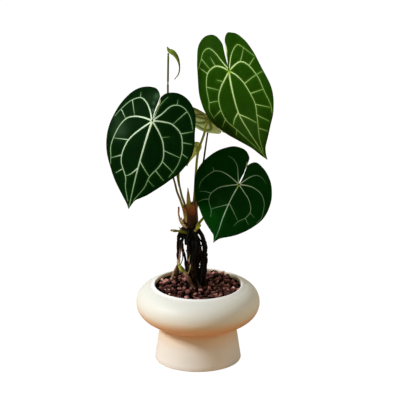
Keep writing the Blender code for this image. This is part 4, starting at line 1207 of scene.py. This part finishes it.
def make_blade(name):
    spec, axes = BLADES[name], blade_axes(BLADES[name])
    work = bmesh.new()
    bmesh.ops.create_grid(work, x_segments=2 * SECTORS, y_segments=RINGS, size=1.0, calc_uvs=False)
    outs = [(corner.co.y + 1) / 2 for corner in work.verts]
    flat = [flat_point(spec, corner.co.x, out) for corner, out in zip(work.verts, outs)]
    gap = nearest_vein(name, flat)
    glow = work.verts.layers.float.new("glow")
    bloom = work.verts.layers.float.new("bloom")
    place = work.verts.layers.float_vector.new("flat_place")
    for corner, (u, v), out, far in zip(work.verts, flat, outs, gap):
        quilt = QUILT * (1 - math.exp(-(far / QUILT_REACH) ** 2)) * (1 - out ** 10)
        corner.co = bent_point(spec, axes, u, v, lobe_lift(spec, u, v) + wander(spec, u, v) + quilt)
        corner[glow] = math.exp(-(far / GLOW_REACH) ** 2)
        corner[bloom] = bloom_at(name, u, v)
        corner[place] = (u, v, 0.0)
    bmesh.ops.remove_doubles(work, verts=work.verts, dist=1e-6)
    bmesh.ops.reverse_faces(work, faces=work.faces)
    return work


# %% [markdown]
# Each vein also has a body of its own: a narrow strip with a rounded top that tapers to its end.
# A bump in the material would be cheaper but would vanish in the mesh. On the upper face the
# strip lies almost flush and is silvery. On the underside it stands out as a rib, so the same
# strips are laid there once more, taller.

# %% Lay the veins on a blade
BLADE_BODY = 0.0008
# The veins meet in a spot this large, in lengths of the blade.
MEETING = 0.06
# How much fainter the veins of the left and the right half are. On the left blade the right half's
# veins are painted fainter: painted shade on the half turned from the light.
FAINTER = {"blade_left": (0.0, 0.30), "blade_upper_right": (0.05, 0.05)}
BROADEST, FADE_PER_METRE, PALEST_START = 0.0021, 400, 0.45


def make_veins(name, side, crest, sink):
    """Strips along every vein: side 1 on the upper face, -1 on the underside."""
    spec, axes = BLADES[name], blade_axes(BLADES[name])
    work = bmesh.new()
    fade = work.verts.layers.float.new("fade")
    broadest = min(BROADEST, max(width for width, _ in VEINS[name]) / 1000)
    for path, widths in vein_paths(name):
        steps = len(path) - 1
        thin = min(PALEST_START, max(0.0, (broadest - widths[0]) * FADE_PER_METRE))
        strip = bmesh.ops.create_grid(work, x_segments=4, y_segments=steps, size=1.0)["verts"]
        for corner in strip:
            across, i = corner.co.x, round((corner.co.y + 1) / 2 * steps)
            ahead = (path[min(i + 1, steps)] - path[max(i - 1, 0)]).normalized()
            beside = Vector((-ahead.y, ahead.x, 0.0))
            flat = path[i] + beside * across * widths[i] / 2
            height = lobe_lift(spec, flat.x, flat.y) + wander(spec, flat.x, flat.y)
            height += side * (crest * widths[i] * (1 - across * across) + sink)
            if side < 0:
                height -= BLADE_BODY
            corner.co = bent_point(spec, axes, flat.x, flat.y, height)
            start = thin + FAINTER.get(name, (0, 0))[flat.x > 0.002]
            fading = run_between(min(0.9, start), 1.0, i / steps * 0.85)
            corner[fade] = fading * min(1.0, flat.length / (MEETING * spec["length"]))
    if side > 0:
        bmesh.ops.reverse_faces(work, faces=work.faces)
    return work


print("vein strips on the left blade", len(vein_paths("blade_left")))

# %% [markdown]
# The upper face is velvet: tiny cone-shaped cells swallow the light, so it hardly shines. Sheen
# could imitate that, but a plainly matt finish with almost no gloss comes closer to the
# photograph. Its colour is a dark green that lightens along the veins, with a fine net of small
# veins in between, and in a few patches a painted sheen: the velvet's shine painted into the
# colour. The underside is pale olive and matt, with the same net. A ramp runs each vein from the
# bright spot where all meet to its faded end.

# %% Blade finishes
NET_SCALE, NET_STRENGTH = 190.0, 0.07


def vein_net(tree):
    """Distance to the fine net of small veins, on the flat blade."""
    return add(tree, "ShaderNodeTexVoronoi", {"feature": "DISTANCE_TO_EDGE"}, Scale=NET_SCALE,
               Vector=attribute(tree, "flat_place", "Vector")).outputs["Distance"]


def upper_finish(name, deep, fresh, bloom):
    finish, tree, shader = start_finish(name, 0.6, 0.01)
    spots, grain = mottle(tree, 55.0)
    net = vein_net(tree)
    thin = add(tree, "ShaderNodeMapRange", None, Value=net, From_Min=0.0, From_Max=0.12,
               To_Min=1.0, To_Max=0.0).outputs[0]
    body = blend_colours(tree, spots, times(deep, 0.6), times(deep, 1.4))
    netted = blend_colours(tree, calculate(tree, "MULTIPLY", thin, NET_STRENGTH), body, fresh)
    glowing = blend_colours(tree, calculate(tree, "MULTIPLY", attribute(tree, "glow"), 0.5), netted, fresh)
    # Painted sheen: the velvet's shine painted into the colour in a few patches.
    painted_sheen_mask = calculate(tree, "MULTIPLY", attribute(tree, "bloom"), calculate(tree, "ADD", spots, 0.5))
    give_colour(tree, shader, blend_colours(tree, painted_sheen_mask, glowing, bloom))
    bump(tree, shader, blend_colours(tree, 0.5, grain, net), 0.00025, 0.5)
    return finish


def underside_finish(name, pale, shade, dark):
    finish, tree, shader = start_finish(name, 0.6, 0.15)
    spots, grain = mottle(tree, 90.0)
    beside = calculate(tree, "MULTIPLY", attribute(tree, "glow"), 0.9)
    give_colour(tree, shader, blend_colours(tree, beside, blend_colours(tree, spots, pale, shade), dark))
    bump(tree, shader, blend_colours(tree, 0.3, vein_net(tree), grain), 0.0003, 0.6)
    return finish


def vein_finish(name, middle, bright, faded):
    """The middle colour is where all veins meet; from there they run from bright to faded."""
    finish, tree, shader = start_finish(name, 0.45, 0.15)
    spots, grain = mottle(tree, 260.0)
    halfway = tuple(0.45 * a + 0.55 * b for a, b in zip(bright, faded))
    body = ramp(tree, attribute(tree, "fade"), (
        (0.0, middle), (0.03, middle), (0.09, bright), (0.45, halfway), (1.0, faded)))
    give_colour(tree, shader, blend_colours(tree, calculate(tree, "MULTIPLY", spots, 0.35), body, faded))
    bump(tree, shader, grain, 0.0001, 0.4)
    return finish


# %% Blade colours
# Upper faces: deep colour, fresh colour along the veins, colour of the painted sheen.
UPPER = {
    "blade_left": ((0.0006, 0.0105, 0.0003), (0.006, 0.038, 0.003), (0.100, 0.210, 0.095)),
    "blade_upper_right": ((0.010, 0.047, 0.0006), (0.050, 0.14, 0.008), (0.16, 0.25, 0.080)),
    "blade_lower_right": ((0.0010, 0.034, 0.0010), (0.006, 0.060, 0.005), (0.035, 0.100, 0.030)),
    "blade_back_upper": ((0.018, 0.070, 0.004), (0.05, 0.12, 0.012), (0.06, 0.11, 0.04)),
    "blade_back_lower": ((0.018, 0.070, 0.004), (0.05, 0.12, 0.012), (0.06, 0.11, 0.04)),
}
# Veins: where they meet, bright, faded.
VEIN_COLOURS = {
    "blade_left": ((0.66, 0.80, 0.50), (0.72, 0.86, 0.62), (0.10, 0.23, 0.06)),
    "blade_upper_right": ((0.36, 0.54, 0.07), (0.58, 0.78, 0.34), (0.17, 0.33, 0.06)),
    "blade_lower_right": ((0.42, 0.66, 0.05), (0.78, 0.98, 0.74), (0.04, 0.19, 0.05)),
    "blade_back_upper": ((0.55, 0.70, 0.40), (0.55, 0.70, 0.40), (0.20, 0.34, 0.14)),
    "blade_back_lower": ((0.50, 0.64, 0.36), (0.50, 0.64, 0.36), (0.20, 0.34, 0.14)),
}
# Undersides: pale, shade, dark beside the ribs. The lower of the two back blades takes a lighter
# copy of the same underside, which is painted light.
UNDERSIDE = underside_finish(
    "blade_underside", (0.60, 0.78, 0.36), (0.40, 0.55, 0.20), (0.07, 0.12, 0.012))
UNDERSIDE_PAINTED_LIGHTER = underside_finish(
    "underside_painted_lighter", (0.72, 0.96, 0.36), (0.54, 0.78, 0.22), (0.10, 0.18, 0.02))
RIBS = vein_finish("underside_ribs", (0.66, 0.78, 0.34), (0.62, 0.76, 0.32), (0.34, 0.46, 0.12))
SHADED_RIBS = vein_finish("shaded_ribs", (0.20, 0.28, 0.07), (0.13, 0.20, 0.04), (0.15, 0.22, 0.05))

# %% Put the blades together
# A strip's height in shares of its width, and how far it is raised or sunk, above and below.
VEIN_LAY, RIB_LAY = (0.07, 0.00006), (0.28, -0.00005)

for blade_name in BLADES:
    back = "back" in blade_name
    velvet = upper_finish(blade_name + "_velvet", *UPPER[blade_name])
    # The lower back blade takes the lighter underside copy: painted light.
    under = UNDERSIDE_PAINTED_LIGHTER if blade_name == "blade_back_lower" else UNDERSIDE
    blade = make_piece(blade_name + "_quilted", make_blade(blade_name), [velvet, under], [blade_name])
    body = give_body(blade, BLADE_BODY)
    body.material_offset = 1
    body.material_offset_rim = 0
    silver = vein_finish(blade_name + "_silver", *VEIN_COLOURS[blade_name])
    make_piece(blade_name + "_veins", make_veins(blade_name, 1, *VEIN_LAY), [silver], [blade_name])
    make_piece(blade_name + "_ribs", make_veins(blade_name, -1, *RIB_LAY), [SHADED_RIBS if back else RIBS],
               [blade_name])

# %% [markdown]
# ## Petioles
# A petiole is a long tube, thicker at its foot, with a swollen knee just under its blade. The
# root's tube helper makes it from a few given points, and its last two points are worked out
# from the blade, so that it always meets the blade's back squarely.

# %% Petiole shapes
# Each petiole: its blade, its radius at the foot and higher up, and its points, in mm.
PETIOLES = {
    "petiole_left": ("blade_left", (2.0, 1.4), (
        (-18.0, -4.6, 212.4), (-20.5, -5, 229), (-25.3, -7, 246.2), (-30.6, -9, 261.4),
        (-34.8, -11, 279.6), (-48, -17, 325), (-58.5, -24, 356))),
    "petiole_upper_right": ("blade_upper_right", (1.7, 1.2), (
        (-4.2, 1.8, 212.4), (-2, 5.5, 229), (2.5, 16.5, 254), (8, 37, 290), (11.2, 55, 307.8),
        (14.2, 67, 324.9), (16.7, 68, 341.6), (20.3, 57, 364.3), (27.6, 33, 393.3), (34.8, 5, 419.2))),
    "petiole_lower_right": ("blade_lower_right", (2.4, 1.6), (
        (-4.5, -6.2, 203), (1, -9.5, 211.5), (9.5, -14.5, 224), (27.6, -17, 244.6), (47, -15, 262))),
    "petiole_back_upper": ("blade_back_upper", (2.1, 1.8), (
        (-7.2, 6.9, 212.4), (-6.2, 8.5, 233), (-4.4, 13, 255.2), (-3.2, 19, 277.7), (0.1, 27, 308.2),
        (8.9, 32.5, 334.7))),
    "petiole_back_lower": ("blade_back_lower", (1.6, 1.3), (
        (-14, 7, 212.4), (-17.2, 8, 228), (-23.4, 10, 246.5), (-26.4, 13, 259.1), (-28, 18, 274),
        (-26.5, 24, 290))),
    "petiole_new": (None, (2.0, 1.45), (
        (-18, 1, 212.4), (-19, 0.5, 227.5), (-19.7, 0, 238.7), (-23.4, 0, 250.3), (-26.4, 0, 263.9),
        (-28.9, 0, 275.5), (-37.7, 0, 337.5), (-42.8, 0, 383.9), (-43.5, 0, 411.8), (-42.8, 0, 469.7))),
}
# How far behind the blade the knee starts.
KNEE = 0.0100
PETIOLE_STEPS, PETIOLE_SIDES = 90, 16
KNEE_SWELL, KNEE_PLACE, KNEE_SPREAD = 0.28, 0.965, 0.03


def petiole_path(name):
    blade, _, points = PETIOLES[name]
    points = [Vector(point) / 1000 for point in points]
    if blade:
        normal = blade_axes(BLADES[blade])[1]
        attach = Vector(BLADES[blade]["attach"])
        points += [attach - normal * KNEE, attach - normal * BLADE_BODY]
    return smooth_path(points, PETIOLE_STEPS)


def make_petiole(name):
    blade, (foot, slim), _ = PETIOLES[name]
    shares = [i / PETIOLE_STEPS for i in range(PETIOLE_STEPS + 1)]
    radii = []
    for share in shares:
        knee = 1 + KNEE_SWELL * math.exp(-((share - KNEE_PLACE) / KNEE_SPREAD) ** 2) if blade else 1.0
        radii.append(run_between(foot, slim, min(1.0, share / 0.5)) / 1000 * knee)
    work = bmesh.new()
    layer = work.verts.layers.float.new("along")
    grow_tube(work, petiole_path(name), radii, PETIOLE_SIDES, layer, shares)
    return work


# %% [markdown]
# Old petioles are brown and young ones yellow-green, and each changes along its length. So each
# petiole has a finish of its own, with a low, a middle and a high colour and darker streaks.

# %% Petiole finish
STREAK_DARKNESS = 0.45
# Each petiole's low, middle and high colour.
PETIOLE_COLOURS = {
    # The left petiole's pale cream foot is partly its own colour and partly a painted highlight.
    "petiole_left": ((0.46, 0.38, 0.13), (0.075, 0.065, 0.006), (0.20, 0.26, 0.03)),
    # The upper right petiole's dark low and middle colours are painted shade, for its run behind the upper
    # back blade.
    "petiole_upper_right": ((0.06, 0.04, 0.006), (0.030, 0.036, 0.004), (0.16, 0.22, 0.02)),
    "petiole_lower_right": ((0.24, 0.26, 0.02), (0.24, 0.28, 0.02), (0.30, 0.38, 0.06)),
    "petiole_back_upper": ((0.14, 0.095, 0.015), (0.33, 0.38, 0.06), (0.44, 0.54, 0.10)),
    "petiole_back_lower": ((0.10, 0.075, 0.010), (0.14, 0.17, 0.015), (0.24, 0.28, 0.05)),
    "petiole_new": ((0.34, 0.34, 0.05), (0.16, 0.22, 0.012), (0.11, 0.15, 0.015)),
}


def petiole_finish(name, low, middle, high):
    finish, tree, shader = start_finish(name, 0.42, 0.2)
    spots, grain = mottle(tree, 130.0)
    stops = ((0.0, low), (0.12, low), (0.5, middle), (0.9, high), (1.0, high))
    body = ramp(tree, attribute(tree, "along"), stops)
    streaked = blend_colours(tree, spots, body, times(middle, STREAK_DARKNESS))
    give_colour(tree, shader, blend_colours(tree, 0.4, body, streaked))
    bump(tree, shader, grain, 0.0002, 0.4)
    return finish


for petiole, colours in PETIOLE_COLOURS.items():
    make_piece(petiole + "_grown", make_petiole(petiole), [petiole_finish(petiole + "_skin", *colours)],
               [petiole])

# %% [markdown]
# ## New blade
# The youngest blade is still rolled up lengthways and hooks over like a crook. A sheet could be
# rolled for it, but only the outside of the roll can be seen. So a ring is swept along its bent
# middle line, wide where the roll is thick and thin at the drying tip, and a groove is pressed
# into it where one margin wraps over the other.

# %% Furled blade
# Each place on the roll's middle line, with its radius, in mm.
FURLED = (
    ((-44.4, 0, 480), 0.5), ((-41.8, 0, 474.5), 2.7), ((-37.5, 0, 472), 3.7),
    ((-33.5, 0, 468.5), 3.3), ((-29.8, 0, 462.5), 2.5), ((-27.2, 0, 454), 1.4),
    ((-26.7, 0, 445.5), 1.0), ((-28.5, 0, 437.5), 0.9), ((-34, 0, 430), 0.5))
FURLED_STEPS, FURLED_SIDES, THINNEST = 72, 20, 0.0003
GROOVE_DEPTH, GROOVE_BEARING, GROOVE_SPREAD = 0.28, 0.5, 0.35


def make_furled():
    path = smooth_path([Vector(point) / 1000 for point, _ in FURLED], FURLED_STEPS)
    girth = smooth_path([Vector((radius / 1000, 0, 0)) for _, radius in FURLED], FURLED_STEPS)
    work = bmesh.new()
    layer = work.verts.layers.float.new("along")
    corners = grow_tube(work, path, [max(THINNEST, g.x) for g in girth], FURLED_SIDES, layer,
                        [i / FURLED_STEPS for i in range(FURLED_STEPS + 1)])
    for corner in corners:
        nearest = min(path, key=lambda point: (point - corner.co).length_squared)
        out = corner.co - nearest
        bearing = math.atan2(out.z, -out.y) - GROOVE_BEARING
        corner.co -= out * GROOVE_DEPTH * math.exp(-(bearing / GROOVE_SPREAD) ** 2)
    return work


# %% [markdown]
# The roll is a fresh yellow-green that dulls to brown at its tip. A ramp along it does that, as
# on the petioles, with darker spots for the folds of the blade inside.

# %% Furled blade finish
YOUNG_GREEN = (
    (0.0, (0.15, 0.24, 0.02)), (0.2, (0.22, 0.35, 0.03)), (0.5, (0.20, 0.30, 0.04)),
    (0.75, (0.13, 0.16, 0.05)), (1.0, (0.10, 0.09, 0.05)))


def furled_finish():
    finish, tree, shader = start_finish("young_blade_skin", 0.45, 0.2)
    spots, grain = mottle(tree, 200.0)
    body = ramp(tree, attribute(tree, "along"), YOUNG_GREEN)
    darker = calculate(tree, "MULTIPLY", spots, 0.5)
    give_colour(tree, shader, blend_colours(tree, darker, body, (0.07, 0.10, 0.01)))
    bump(tree, shader, grain, 0.0002, 0.5)
    return finish


make_piece("blade_new_furled", make_furled(), [furled_finish()], ["blade_new"])
